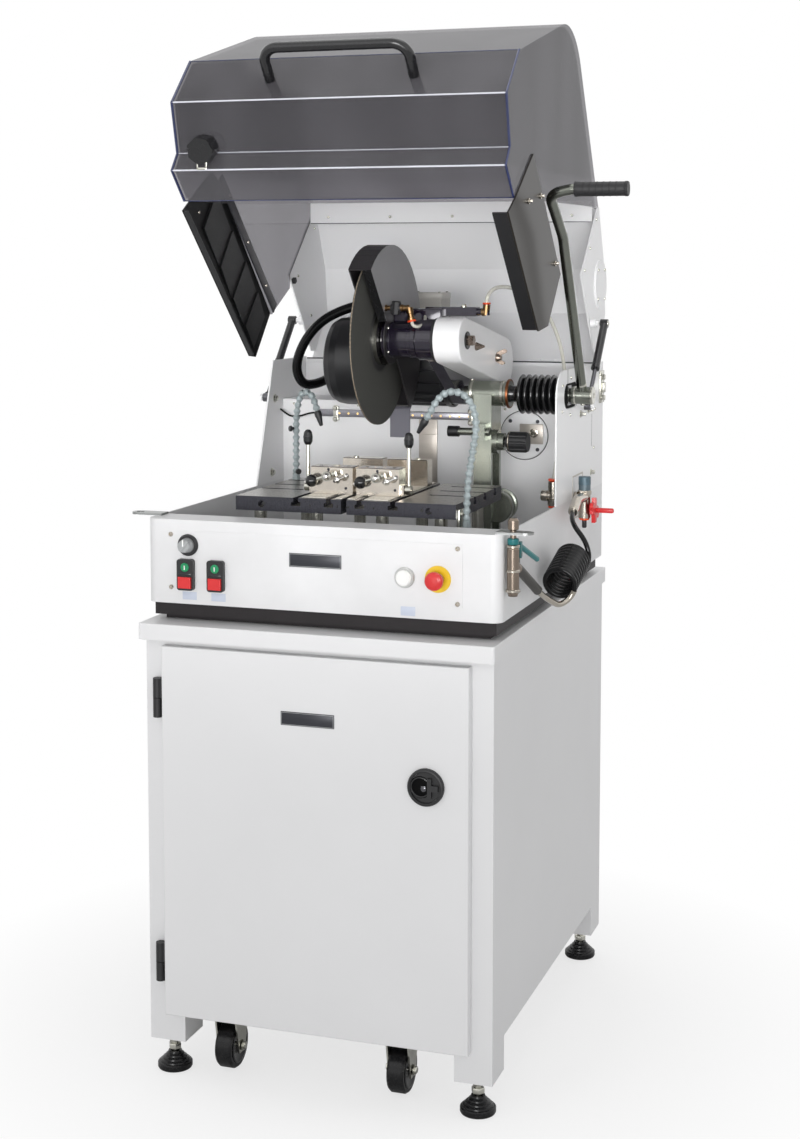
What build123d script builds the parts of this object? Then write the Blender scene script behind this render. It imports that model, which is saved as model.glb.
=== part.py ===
from build123d import *
import os
from math import acos, atan2, cos, pi, sin, sqrt

# Millimetres. Origin at the centre of the cabinet's footprint on the floor, +X right, +Y rear, +Z up.

# Cabinet
CAB_X = 306.0
CAB_Y = 394.0
LEG_Z = 60.0
PANEL_Z = 118.0
FRAME_TOP = 786.0
SHEET = 3.0
LEG_W = 65.0
LEG_D = 71.0
JAMB_X = 253.0
RAIL_TOP_Z = 735.0
RAIL_LOW_Z = 141.0
TOP_Z0 = 761.0
TOP_Z1 = 789.0
TOP_OVER_X = 6.0
TOP_OVER_Y = 20.0
FOOT_X = 274.0
FOOT_Y = 366.0
FOOT_R = 30.0
STUD_R = 6.0
STUD_GAP = 0.6
CASTER_X = (-180.0, 132.0)
CASTER_Y = (-337.0, 337.0)
CASTER_R = 40.0
CASTER_W = 32.0
CASTER_Z = 43.0
AXLE_R = 4.0
RUN_FIT = 0.05

# Door
DOOR_X = 270.0
DOOR_Z0 = 112.0
DOOR_Z1 = 752.0
DOOR_FRONT = -413.0
DOOR_BACK = -394.5
HINGE_X = -281.0
HINGE_Y = -404.0
HINGE_Z = (628.0, 169.0)
HINGE_H = 67.0
HINGE_R = 8.0
PIN_R = 3.0
LATCH_X = 199.0
LATCH_Z = 553.0
LATCH_R = 30.5
CAM_LEN = 50.0

# Machine base and tub
PAD_Z1 = 797.0
TUB_Z0 = 819.0
RIM_Z = 962.0
TUB_X = 312.0
TUB_FRONT = -376.0
TUB_REAR = 358.0
BOX_REAR = -312.0
TUB_CORNER = 18.0
PANEL_X0 = -273.0
PANEL_X1 = 248.0
PANEL_LOW = 841.0
PANEL_HIGH = 944.0
PANEL_PROUD = 1.5
HOOK_Z = 4.0
WALL_TOP = 1201.0
BACK_Y = 230.0
LEDGE_Z = 1122.0
REAR_TOP = 1190.0
LEAF_DROP = 5.0

# Controls
KNOB_AT = (-234.0, 920.0)
TWIN_X = (-237.0, -182.0)
TWIN_Z = 870.0
WHITE_AT = (151.0, 886.0)
STOP_AT = (207.0, 886.0)
BUTTON_FIT = 0.3

# Table and vises
TABLE_X = 200.0
TABLE_Y0 = -256.0
TABLE_Y1 = 25.0
TABLE_Z0 = 966.0
TABLE_Z1 = 991.0
WHEEL_GAP = 10.0
SLOT_X = (28.0, 88.0)
SLOT_NECK = 9.0
SLOT_BASE = 17.0
CROSS_Y = (-144.0, -82.0, -17.0)
STRIP_Z1 = 993.0
STRIPS = ((5.0, 17.0), (35.0, 78.0))
JAW_FRONT = -202.0
JAW_DEPTH = 36.0
JAW_TOP = 1041.0
JAW_LOW = 993.3
JAW_X0 = 3.5
JAW_X1 = 81.0
KEY_FIT = 0.3
REAR_JAW_Y = -42.0
CRANK_X = (-44.0, 46.0)
CRANK_Z = 1026.0
CRANK_BALL_R = 11.0
LEVER_X = 93.0
LEVER_Y = -184.0
LEVER_Z = 1003.0

# Swing arm, its pivot and its drive
PIVOT_Y = 95.0
PIVOT_Z = 1153.0
SHAFT_R = 12.5
SPIN_Y = -70.0
SPIN_Z = 1257.0
MOTOR_Y = 195.0
MOTOR_Z = 1203.0
MOTOR_R = 84.0
MOTOR_X0 = -184.0
PLATE_X0 = 90.0
PLATE_X1 = 112.0
COVER_X1 = 160.0
SPINDLE_R = 15.0
HOUSING_R = 31.0
WHEEL_R = 152.5
WHEEL_T = 3.2
GUARD_R = 168.0
GUARD_X = 24.0
GUARD_LEFT = 18.0
GUARD_OPEN = 132.0
FLAP_T = 4.0
FLAP_H = 60.0
PULLEY_X0 = 122.0
PULLEY_X1 = 146.0
SPIN_PULLEY_R = 26.0
MOTOR_PULLEY_R = 32.0
BELT_T = 4.0
BELT_GAP = 0.4
COLUMN_X0 = 136.0
COLUMN_X1 = 170.0
COLUMN_Y0 = 62.0
COLUMN_Y1 = 128.0
LEVER_TUBE_X = 333.0
LEVER_TUBE_R = 9.0
REST_X = 92.0
REST_Y = 50.0
REST_Z = 1085.0
REST_R = 7.0
STOP_KNOB_Y = 85.0
STOP_KNOB_Z = 1065.0

# Hood and gas springs
HOOD_X = 297.0
HOOD_T = 5.0
HOOD_AXIS_Y = 366.0
HOOD_AXIS_Z = 1195.0
HOOD_EDGE_Z = 1500.0
HOOD_HINGE_X = (-200.0, 200.0)
HANDLE_R = 9.0
RIM_UP = 12.0
HOOD_SEAM = 3.0
FRAME_REAR = 441.0
SPRING_X = 323.0
ANCHOR_Y = 180.0
ANCHOR_Z = 1128.0
SOCKET_Y = 316.0
SOCKET_Z = 1276.0
SPRING_R = 7.5
SPRING_ROD_R = 4.0
SPRING_FIT = 0.3
CYLINDER_LEN = 108.0
ROD_LEN = 110.0

# Water
HOSE_R = 4.5
VALVE_END = (336.6, 10.0, 950.3)
VALVE_WAY = Vector(5, -50, -14).normalized()
COIL_R = 27.0
COIL_TURNS = 9.0
COIL_FRONT = Vector(352, -150, 848)
COIL_BACK = Vector(352, -46, 878)
GUN_X = 326.0
GUN_Y = -372.0
TRIGGER_Y = -334.0
TRIGGER_Z = 926.0
COOLANT_R = 6.5
COOLANT_BORE = 3.0
HOSE_SEAT = (-190.0, 2.0)
SEAT_DEPTH = 3.0


def block(x0, x1, y0, y1, z0, z1):
    return Pos((x0 + x1) / 2, (y0 + y1) / 2, (z0 + z1) / 2) * Box(abs(x1 - x0), abs(y1 - y0), abs(z1 - z0))


def bar_x(y, z, r, x0, x1):
    return Pos((x0 + x1) / 2, y, z) * Rot(0, 90, 0) * Cylinder(r, abs(x1 - x0))


def bar_y(x, z, r, y0, y1):
    return Pos(x, (y0 + y1) / 2, z) * Rot(90, 0, 0) * Cylinder(r, abs(y1 - y0))


def bar_z(x, y, r, z0, z1):
    return Pos(x, y, (z0 + z1) / 2) * Cylinder(r, abs(z1 - z0))


def outline(points):
    return make_face(Polyline(*points, close=True))


def plate_x(points, x0, x1):
    return extrude(Plane.YZ.offset(x0) * outline(points), x1 - x0)


def face_x(sketch, x0, x1):
    return extrude(Plane.YZ.offset(x0) * sketch, x1 - x0)


def lathe(points):
    return revolve(Plane.XZ * outline(points), Axis.Z)


def lathe_x(points, y, z):
    return Pos(0, y, z) * Rot(0, 90, 0) * lathe(points)


def lathe_y(points, x, z):
    return Pos(x, 0, z) * Rot(-90, 0, 0) * lathe(points)


def strut(p, q, r):
    p = Vector(*p)
    q = Vector(*q)
    return Plane(origin=p, z_dir=q - p) * Cylinder(r, (q - p).length, align=(Align.CENTER, Align.CENTER, Align.MIN))


def pipe(path, r):
    return sweep(Plane(origin=path @ 0, z_dir=path % 0) * Circle(r), path=path)


def bend_radii(points):
    radii = []
    for a, b, c in zip(points, points[1:], points[2:]):
        u = Vector(*b) - Vector(*a)
        v = Vector(*c) - Vector(*b)
        turn = u.get_angle(v) * pi / 180
        radii.append(0.45 * min(u.length, v.length) / (sin(turn / 2) / cos(turn / 2)))
    return radii


def routed(points):
    return FilletPolyline(*points, radius=bend_radii(points))


def biarc(p0, t0, p1, t1):
    t0 = t0.normalized()
    t1 = t1.normalized()
    v = p1 - p0
    k = 2 * (1 - t0.dot(t1))
    b = v.dot(t0 + t1)
    d = (sqrt(b * b + k * v.dot(v)) - b) / k
    mid = (p0 + t0 * d + p1 - t1 * d) * 0.5
    first = TangentArc(p0, mid, tangent=t0)
    return [first, TangentArc(mid, p1, tangent=first % 1)]


def two_circles(c0, r0, c1, r1):
    ax = c1[0] - c0[0]
    ay = c1[1] - c0[1]
    away = atan2(ay, ax)
    half = acos((r0 - r1) / sqrt(ax * ax + ay * ay))

    def rim(c, r, angle):
        return (c[0] + r * cos(angle), c[1] + r * sin(angle))

    a0 = rim(c0, r0, away + half)
    a1 = rim(c1, r1, away + half)
    b0 = rim(c0, r0, away - half)
    b1 = rim(c1, r1, away - half)
    return make_face([
        Line(a0, a1),
        ThreePointArc(a1, rim(c1, r1, away), b1),
        Line(b1, b0),
        ThreePointArc(b0, rim(c0, r0, away + pi), a0),
    ])


def cabinet_frame():
    shell = block(-CAB_X, CAB_X, -CAB_Y, CAB_Y, PANEL_Z, FRAME_TOP)
    room = block(-CAB_X + SHEET, CAB_X - SHEET, -CAB_Y + SHEET, CAB_Y - SHEET, PANEL_Z + SHEET, FRAME_TOP + 1)
    opening_x = CAB_X - LEG_W
    opening = block(-opening_x, opening_x, -CAB_Y - 1, -CAB_Y + SHEET + 1, RAIL_LOW_Z, RAIL_TOP_Z)
    body = shell - room - opening
    for sx in (-1, 1):
        for sy in (-1, 1):
            leg = block(sx * opening_x, sx * CAB_X, sy * (CAB_Y - LEG_D), sy * CAB_Y, LEG_Z, PANEL_Z + SHEET)
            post = block(sx * JAMB_X, sx * CAB_X, sy * (CAB_Y - LEG_D), sy * CAB_Y, PANEL_Z, FRAME_TOP)
            body += leg + post
    for sx in (-1, 1):
        for sy in (-1, 1):
            body -= block(sx * (JAMB_X + SHEET), sx * (CAB_X - SHEET), sy * (CAB_Y - LEG_D + SHEET),
                          sy * (CAB_Y - SHEET), LEG_Z + 4, FRAME_TOP + 1)
            body -= block(sx * (JAMB_X + SHEET), sx * (CAB_X - SHEET), sy * (CAB_Y - LEG_D - 1),
                          sy * (CAB_Y - SHEET), PANEL_Z + SHEET, FRAME_TOP + 1)
            body -= bar_z(sx * FOOT_X, sy * FOOT_Y, STUD_R + STUD_GAP, LEG_Z - 1, LEG_Z + 5)
    return body


def cabinet_top():
    x = CAB_X + TOP_OVER_X
    y0 = -CAB_Y - TOP_OVER_Y
    y1 = CAB_Y + TOP_OVER_X
    slab = block(-x, x, y0, y1, TOP_Z0, TOP_Z1)
    slab = fillet(slab.edges().filter_by(Axis.Z), 5)
    slab = fillet(slab.faces().sort_by(Axis.Z)[-1].edges(), 2)
    return slab - block(-x + SHEET, x - SHEET, y0 + SHEET, y1 - SHEET, TOP_Z0 - 1, FRAME_TOP)


def levelling_feet():
    pad = lathe([(0, 0), (FOOT_R - 5, 0), (FOOT_R, 4), (FOOT_R, 11), (FOOT_R - 4, 14), (FOOT_R - 9, 18), (16, 23),
                 (12, 29), (11, 31), (STUD_R, 31), (STUD_R, 82), (0, 82)])
    nut = Pos(0, 0, 49) * extrude(RegularPolygon(11, 6) - Circle(STUD_R - 0.5), LEG_Z - 49)
    foot = pad + nut
    return [Pos(sx * FOOT_X, sy * FOOT_Y, 0) * foot for sx in (-1, 1) for sy in (-1, 1)]


def caster_brackets():
    made = []
    for x in CASTER_X:
        for y in CASTER_Y:
            bracket = block(x - 42, x + 42, y - 34, y + 34, PANEL_Z - SHEET, PANEL_Z)
            cheek = [(y - 30, PANEL_Z - 2), (y + 30, PANEL_Z - 2), (y + 12, CASTER_Z - 11), (y - 12, CASTER_Z - 11)]
            gap = CASTER_W / 2 + 1.5
            for side in (-1, 1):
                bracket += plate_x(cheek, x + side * gap - (SHEET if side < 0 else 0),
                                   x + side * gap + (SHEET if side > 0 else 0))
            bracket += bar_x(y, CASTER_Z, AXLE_R, x - gap - 7, x + gap + 7)
            made.append(bracket)
    return made


def caster_wheel(x, y):
    w = CASTER_W / 2
    r = CASTER_R
    bore = AXLE_R + RUN_FIT
    half = [(bore, -w), (14, -w), (14, -w + 4), (29, -w + 4), (29, -w + 1), (r - 3, -w + 1), (r, -w + 5)]
    return Pos(x, 0, 0) * lathe_x(half + [(a, -b) for a, b in reversed(half)], y, CASTER_Z)


def door_hinge_posts():
    made = []
    for z in HINGE_Z:
        half = bar_z(HINGE_X, HINGE_Y, HINGE_R, z, z + HINGE_H / 2 - 0.5)
        half += block(HINGE_X - HINGE_R, HINGE_X + HINGE_R, HINGE_Y, -CAB_Y, z, z + HINGE_H / 2 - 0.5)
        half += bar_z(HINGE_X, HINGE_Y, PIN_R, z + 5, z + HINGE_H - 4)
        made.append(half)
    return made


def door():
    pan = block(-DOOR_X, DOOR_X, DOOR_FRONT, DOOR_BACK, DOOR_Z0, DOOR_Z1)
    pan = fillet(pan.faces().sort_by(Axis.Y)[0].edges(), 2.5)
    pan -= block(-DOOR_X + SHEET, DOOR_X - SHEET, DOOR_FRONT + SHEET, DOOR_BACK + 1, DOOR_Z0 + SHEET, DOOR_Z1 - SHEET)
    return pan - bar_y(LATCH_X, LATCH_Z, 14, DOOR_FRONT - 1, DOOR_FRONT + SHEET + 1)


def door_fittings():
    made = []
    for z in HINGE_Z:
        z0 = z + HINGE_H / 2 + 0.5
        half = bar_z(HINGE_X, HINGE_Y, HINGE_R, z0, z + HINGE_H)
        half += block(HINGE_X, -DOOR_X, HINGE_Y - 5, HINGE_Y + 5, z0, z + HINGE_H)
        half -= bar_z(HINGE_X, HINGE_Y, PIN_R + RUN_FIT, z0 - 1, z + HINGE_H - 3)
        made.append(half)
    cup = lathe_y([(LATCH_R - 5, DOOR_FRONT), (LATCH_R, DOOR_FRONT), (LATCH_R, DOOR_FRONT - 5),
                   (LATCH_R - 2, DOOR_FRONT - 7), (LATCH_R - 5, DOOR_FRONT - 7)], LATCH_X, LATCH_Z)
    return made + [cup]


def latch_paddle():
    dial = bar_y(LATCH_X, LATCH_Z, LATCH_R - 5.5, DOOR_FRONT - 4, DOOR_FRONT - 0.3)
    grip = block(LATCH_X + 4, LATCH_X + 22, DOOR_FRONT - 9, DOOR_FRONT - 4, LATCH_Z - 5, LATCH_Z + 5)
    grip += block(LATCH_X + 4, LATCH_X + 11, DOOR_FRONT - 9, DOOR_FRONT - 4, LATCH_Z - 16, LATCH_Z + 16)
    stem = bar_y(LATCH_X, LATCH_Z, 9, DOOR_FRONT - 1, -CAB_Y + SHEET + 6)
    cam = block(LATCH_X - 8, LATCH_X + 8, -CAB_Y + SHEET + 2, -CAB_Y + SHEET + 6, LATCH_Z - 9, LATCH_Z + CAM_LEN)
    return dial + grip + stem + cam


def machine_base():
    ring = block(-302, 302, -366, 350, PAD_Z1, TUB_Z0) - block(-262, 262, -326, 310, PAD_Z1, TUB_Z0)
    pad = block(-288, 288, -352, 336, TOP_Z1, PAD_Z1) - block(-262, 262, -326, 310, TOP_Z1, PAD_Z1)
    return ring + pad


def hook(sx, y):
    plate = block(sx * 300, sx * 346, y - 14, y + 14, RIM_Z, RIM_Z + HOOK_Z)
    plate += bar_z(sx * 346, y, 14, RIM_Z, RIM_Z + HOOK_Z)
    return plate


def tub():
    outer = block(-TUB_X, TUB_X, TUB_FRONT, TUB_REAR, TUB_Z0, RIM_Z)
    corners = outer.edges().filter_by(Axis.Z).sort_by(Axis.Y)[:2]
    outer = fillet(corners, TUB_CORNER)
    x = TUB_X - SHEET
    body = outer - block(-x, x, BOX_REAR, TUB_REAR - SHEET, TUB_Z0 + SHEET, RIM_Z + 1)
    cell = block(-x, x, TUB_FRONT + SHEET, BOX_REAR - SHEET, TUB_Z0 + SHEET, RIM_Z - SHEET)
    cell = fillet(cell.edges().filter_by(Axis.Z).sort_by(Axis.Y)[:2], TUB_CORNER - SHEET)
    body -= cell
    body -= bar_x((TUB_FRONT + BOX_REAR) / 2, TUB_Z0 + 40, 14, -TUB_X - 1, -x + 1)
    body += block(PANEL_X0, PANEL_X1, TUB_FRONT - PANEL_PROUD, TUB_FRONT + 1, PANEL_LOW, PANEL_HIGH)
    right = hook(1, GUN_Y + 16) - bar_z(GUN_X, GUN_Y + 16, 7, RIM_Z - 1, RIM_Z + HOOK_Z + 1)
    left = hook(-1, -330) - bar_z(-346, -330, 7, RIM_Z - 1, RIM_Z + HOOK_Z + 1)
    return [body, left, right]


def hood_hinge_fixed(x):
    leaf = block(x - 35, x + 35, TUB_REAR, TUB_REAR + SHEET, REAR_TOP - 40, REAR_TOP - LEAF_DROP)
    leaf += block(x - 12, x + 12, TUB_REAR, HOOD_AXIS_Y, REAR_TOP - 10, HOOD_AXIS_Z)
    leaf += bar_x(HOOD_AXIS_Y, HOOD_AXIS_Z, 6, x - 12, x + 12)
    return leaf + bar_x(HOOD_AXIS_Y, HOOD_AXIS_Z, PIN_R, x - 36, x + 36)


def chamber_walls():
    x0 = TUB_X - SHEET
    left = plate_x([(96, RIM_Z), (181, WALL_TOP), (TUB_REAR, WALL_TOP), (TUB_REAR, RIM_Z)], -TUB_X, -x0)
    cheek = outline([(-15, RIM_Z), (-15, WALL_TOP), (TUB_REAR, WALL_TOP), (TUB_REAR, RIM_Z)])
    corner = cheek.vertices().sort_by(Axis.X)[:2].sort_by(Axis.Y)[-1]
    cheek = fillet(corner, 50)
    slot = Pos(95, 1153) * SlotOverall(112, 46)
    right = face_x(cheek - slot, x0, TUB_X)
    back = block(-x0, x0, BACK_Y, BACK_Y + SHEET, TUB_Z0 + SHEET, LEDGE_Z)
    back += block(-x0, x0, BACK_Y, TUB_REAR, LEDGE_Z - SHEET, LEDGE_Z)
    back += block(-x0, x0, TUB_REAR - SHEET, TUB_REAR, RIM_Z, REAR_TOP)
    body = left + right + back
    for sx in (-1, 1):
        stud = bar_x(ANCHOR_Y, ANCHOR_Z, 4, sx * (TUB_X - 1), sx * (SPRING_X + 9))
        stud += bar_x(ANCHOR_Y, ANCHOR_Z, 7, sx * (SPRING_X + 8), sx * (SPRING_X + 12))
        body += stud
    for x in HOOD_HINGE_X:
        body += hood_hinge_fixed(x)
    return body


def switch_bezels():
    face = TUB_FRONT - PANEL_PROUD
    made = [lathe_y([(13, face), (18.4, face), (18.4, face - 3), (16.5, face - 5), (13, face - 5)], *KNOB_AT)]
    for x in TWIN_X:
        body = Pos(x, 0, TWIN_Z) * extrude(Plane.XZ.offset(-face) * RectangleRounded(30, 53, 5), 9)
        body -= bar_y(x, TWIN_Z + 13, 7.5 + BUTTON_FIT, face - 12, face + 1)
        body -= block(x - 12, x + 12, face - 12, face + 1, TWIN_Z - 23, TWIN_Z - 3)
        made.append(body)
    made.append(lathe_y([(13.5, face), (17, face), (17, face - 4), (15.5, face - 6), (13.5, face - 6)], *WHITE_AT))
    made.append(lathe_y([(10, face), (22, face), (22, face - 2), (10, face - 2)], *STOP_AT))
    return made


def rotary_knob():
    face = TUB_FRONT - PANEL_PROUD
    knob = lathe_y([(0, face - 0.5), (12.5, face - 0.5), (12.5, face - 7), (10.5, face - 20), (9.5, face - 21),
                    (0, face - 21)], *KNOB_AT)
    x, z = KNOB_AT
    rib = Pos(x, 0, z) * Rot(0, 40, 0) * block(-2.5, 2.5, face - 22.5, face - 10, -10, 12)
    return knob + rib


def green_button(x):
    face = TUB_FRONT - PANEL_PROUD
    return lathe_y([(0, face - 4), (7.5, face - 4), (7.5, face - 9.5), (7, face - 10), (0, face - 10)], x, TWIN_Z + 13)


def red_button(x):
    face = TUB_FRONT - PANEL_PROUD
    key = block(x - 12 + BUTTON_FIT, x + 12 - BUTTON_FIT, face - 13, face - 4, TWIN_Z - 23 + BUTTON_FIT,
                TWIN_Z - 3 - BUTTON_FIT)
    return fillet(key.faces().sort_by(Axis.Y)[0].edges(), 1.2)


def white_button():
    face = TUB_FRONT - PANEL_PROUD
    r = 13.5 - BUTTON_FIT
    return lathe_y([(0, face - 4), (r, face - 4), (r, face - 9), (r - 1, face - 10), (0, face - 10)], *WHITE_AT)


def emergency_stop():
    face = TUB_FRONT - PANEL_PROUD
    return lathe_y([(0, face - 5), (9, face - 5), (9, face - 17), (14, face - 17), (15, face - 19), (15, face - 25),
                    (13, face - 28), (8, face - 30), (0, face - 30.5)], *STOP_AT)


def table_half(sx):
    half = block(sx * WHEEL_GAP / 2, sx * TABLE_X, TABLE_Y0, TABLE_Y1, TABLE_Z0, TABLE_Z1)
    for a, b in STRIPS:
        half += block(sx * a, sx * b, TABLE_Y0 + 6, TABLE_Y1 - 6, TABLE_Z1 - 1, STRIP_Z1)
    for x in SLOT_X:
        half -= block(sx * x - SLOT_NECK / 2, sx * x + SLOT_NECK / 2, TABLE_Y0 - 1, TABLE_Y1 + 1, TABLE_Z1 - 12, STRIP_Z1)
        half -= block(sx * x - SLOT_BASE / 2, sx * x + SLOT_BASE / 2, TABLE_Y0 - 1, TABLE_Y1 + 1, TABLE_Z1 - 14,
                      TABLE_Z1 - 7)
    for y in CROSS_Y:
        half -= block(sx * 118, sx * (TABLE_X + 1), y - SLOT_NECK / 2, y + SLOT_NECK / 2, TABLE_Z1 - 12, STRIP_Z1)
        half -= block(sx * 118, sx * (TABLE_X + 1), y - SLOT_BASE / 2, y + SLOT_BASE / 2, TABLE_Z1 - 14, TABLE_Z1 - 7)
    if sx < 0:
        half -= bar_z(*HOSE_SEAT, COOLANT_R + 2, TABLE_Z1 - SEAT_DEPTH, TABLE_Z1 + 1)
    return half - bar_y(sx * 152, TABLE_Z0 + 12, 6, TABLE_Y0 - 1, TABLE_Y0 + 22)


def table_posts():
    post = bar_z(0, 0, 11, TUB_Z0 + SHEET, TABLE_Z0) + bar_z(0, 0, 16, TUB_Z0 + SHEET, TUB_Z0 + SHEET + 8)
    return [Pos(x, y, 0) * post for x in (-165, -60, 60, 165) for y in (-228, -8)]


def pivot_stand():
    floor = TUB_Z0 + SHEET
    body = block(COLUMN_X0, COLUMN_X1, COLUMN_Y0, COLUMN_Y1, floor, PIVOT_Z)
    body += block(COLUMN_X0 - 18, COLUMN_X1 + 18, COLUMN_Y0 - 18, COLUMN_Y1 + 18, floor, floor + 10)
    body += bar_x(PIVOT_Y, PIVOT_Z, 23, 122, 193)
    body += bar_x(PIVOT_Y, PIVOT_Z, 26, 193, 198)
    body -= bar_x(PIVOT_Y, PIVOT_Z, SHAFT_R + RUN_FIT, 121, 199)
    body -= block(COLUMN_X0 - 1, COLUMN_X1 + 1, COLUMN_Y0 + 10, COLUMN_Y1 - 10, floor + 10, PIVOT_Z - 110)
    body += block(COLUMN_X0 + 8, COLUMN_X1 - 6, REST_Y - 12, COLUMN_Y0, REST_Z - 15, REST_Z + 15)
    body += bar_x(REST_Y, REST_Z, REST_R, REST_X + 8, COLUMN_X1)
    body += bar_x(REST_Y, REST_Z, REST_R + 3, REST_X, REST_X + 20)
    body += bar_x(STOP_KNOB_Y, STOP_KNOB_Z, 22, COLUMN_X1, COLUMN_X1 + 9)
    body += bar_x(STOP_KNOB_Y, STOP_KNOB_Z, 16, COLUMN_X1, COLUMN_X1 + 20)
    return body - bar_x(STOP_KNOB_Y, STOP_KNOB_Z, 5 + RUN_FIT, COLUMN_X1 - 18, COLUMN_X1 + 21)


def stop_knob():
    x = COLUMN_X1
    knob = lathe_x([(0, x - 16), (5, x - 16), (5, x + 22), (10, x + 22), (10, x + 27), (18, x + 27), (19, x + 29),
                    (19, x + 60), (17, x + 64), (0, x + 64)], STOP_KNOB_Y, STOP_KNOB_Z)
    for i in range(10):
        a = 2 * pi * i / 10
        knob -= bar_x(STOP_KNOB_Y + 20.5 * cos(a), STOP_KNOB_Z + 20.5 * sin(a), 3.5, x + 28, x + 66)
    return knob


def bellows():
    x = 198.0
    outer = [(15.5, x), (15.5, x + 15)]
    inner = [(13.3, x), (13.3, x + 17)]
    x += 18
    pitch = (TUB_X - SHEET - x) / 6
    for i in range(6):
        outer += [(24, x + pitch * i + 1), (37, x + pitch * (i + 0.38)), (37, x + pitch * (i + 0.62)),
                  (24, x + pitch * (i + 1) - 1)]
        inner += [(22, x + pitch * i + 1), (35, x + pitch * (i + 0.43)), (35, x + pitch * (i + 0.57)),
                  (22, x + pitch * (i + 1) - 1)]
    end = TUB_X - SHEET
    outer += [(24, end)]
    inner += [(22, end)]
    return lathe_x(outer + list(reversed(inner)), PIVOT_Y, PIVOT_Z)


def rear_jaw():
    made = []
    for sx in (-1, 1):
        jaw = block(sx * 4.5, sx * JAW_X1, REAR_JAW_Y, REAR_JAW_Y + 28, STRIP_Z1, JAW_TOP - 1)
        made.append(chamfer(jaw.faces().sort_by(Axis.Z)[-1].edges(), 1.5))
    return made


def jaw(side):
    sx = -1 if side == 0 else 1
    back = JAW_FRONT + JAW_DEPTH
    body = block(sx * JAW_X0, sx * JAW_X1, JAW_FRONT, back, JAW_LOW, JAW_TOP)
    body = chamfer(body.faces().sort_by(Axis.Z)[-1].edges(), 1.5)
    key_x = sx * SLOT_X[0]
    neck = SLOT_NECK / 2 - KEY_FIT
    foot = SLOT_BASE / 2 - KEY_FIT
    body += block(key_x - neck, key_x + neck, JAW_FRONT + 4, back - 4, TABLE_Z1 - 13.5, JAW_LOW + 1)
    body += block(key_x - foot, key_x + foot, JAW_FRONT + 4, back - 4, TABLE_Z1 - 13.5, TABLE_Z1 - 7 - KEY_FIT)
    body += block(sx * (JAW_X1 - 1), sx * (LEVER_X - 6), LEVER_Y - 10, LEVER_Y + 10, JAW_LOW, LEVER_Z + 9)
    body += bar_x(LEVER_Y, LEVER_Z, PIN_R, sx * (LEVER_X - 7), sx * (LEVER_X + 6))
    return body - bar_y(CRANK_X[side], CRANK_Z, 5 + RUN_FIT, JAW_FRONT - 1, JAW_FRONT + 14)


def cam_lever(side):
    sx = -1 if side == 0 else 1
    x = sx * LEVER_X
    hub = bar_x(LEVER_Y, LEVER_Z, 8, x - 5, x + 5)
    hub += bar_z(x, LEVER_Y, 3.5, LEVER_Z + 5, 1080)
    hub -= bar_x(LEVER_Y, LEVER_Z, PIN_R + RUN_FIT, x - 6, x + 6)
    knob = lathe([(0, 1076), (5, 1076), (8, 1082), (8.5, 1090), (7, 1098), (4, 1102), (0, 1103)])
    return hub + Pos(x, LEVER_Y, 0) * knob


def crank(side):
    x = CRANK_X[side]
    y = JAW_FRONT - CRANK_BALL_R - 3
    r = CRANK_BALL_R
    ball = [(r * sin(pi * i / 10), -r * cos(pi * i / 10)) for i in range(11)]
    body = bar_y(x, CRANK_Z, 5, JAW_FRONT - 6, JAW_FRONT + 12)
    body += bar_y(x, CRANK_Z, 8.5, y - 8, JAW_FRONT - 1)
    tip = Vector(x - 30, y, CRANK_Z - 9)
    tail = Vector(x + 15, y, CRANK_Z + 4.5)
    body += strut(tip, tail, 3)
    body += Pos(x - 30, 0, -9) * lathe_x(ball, y, CRANK_Z)
    return body + strut(tail - (tail - tip).normalized() * 6, tail, 4.5)


def arm_casting():
    spin = (SPIN_Y, SPIN_Z)
    motor_at = (MOTOR_Y, MOTOR_Z)
    pivot = (PIVOT_Y, PIVOT_Z)
    web = face_x(two_circles(spin, 36, motor_at, 46), PLATE_X0, PLATE_X1)
    web += face_x(two_circles(pivot, 22, motor_at, 30), PLATE_X0, PLATE_X1)
    web += face_x(two_circles(pivot, 22, spin, 30), PLATE_X0, PLATE_X1)
    web += bar_x(SPIN_Y, SPIN_Z, HOUSING_R, 12, PLATE_X0 + 1)
    web += bar_x(SPIN_Y, SPIN_Z, 36, 78, PLATE_X0 + 1)
    web -= bar_x(SPIN_Y, SPIN_Z, SPINDLE_R + RUN_FIT, 11, PLATE_X1 + 1)
    web -= bar_x(PIVOT_Y, PIVOT_Z, SHAFT_R + RUN_FIT, PLATE_X0 - 1, PLATE_X1 + 1)
    web -= bar_x(MOTOR_Y, MOTOR_Z, 22, PLATE_X0 - 1, PLATE_X1 + 1)
    bar = block(78, 172, -46, -22, 1299, 1315) + block(84, 104, -46, -22, 1280, 1301)
    nozzle = bar_x(-34, 1307, 6, 171, 188) + bar_z(188, -34, 6, 1301, 1322)
    return web + bar + nozzle


def belt_cover():
    spin = (SPIN_Y, SPIN_Z)
    rear = (MOTOR_Y + 10, MOTOR_Z + 3)
    outer = face_x(two_circles(spin, 41, rear, 45), PLATE_X1, COVER_X1)
    outer = fillet(outer.faces().sort_by(Axis.X)[-1].edges(), 3)
    return outer - face_x(two_circles(spin, 38, rear, 42), PLATE_X1 - 1, COVER_X1 - 3)


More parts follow.
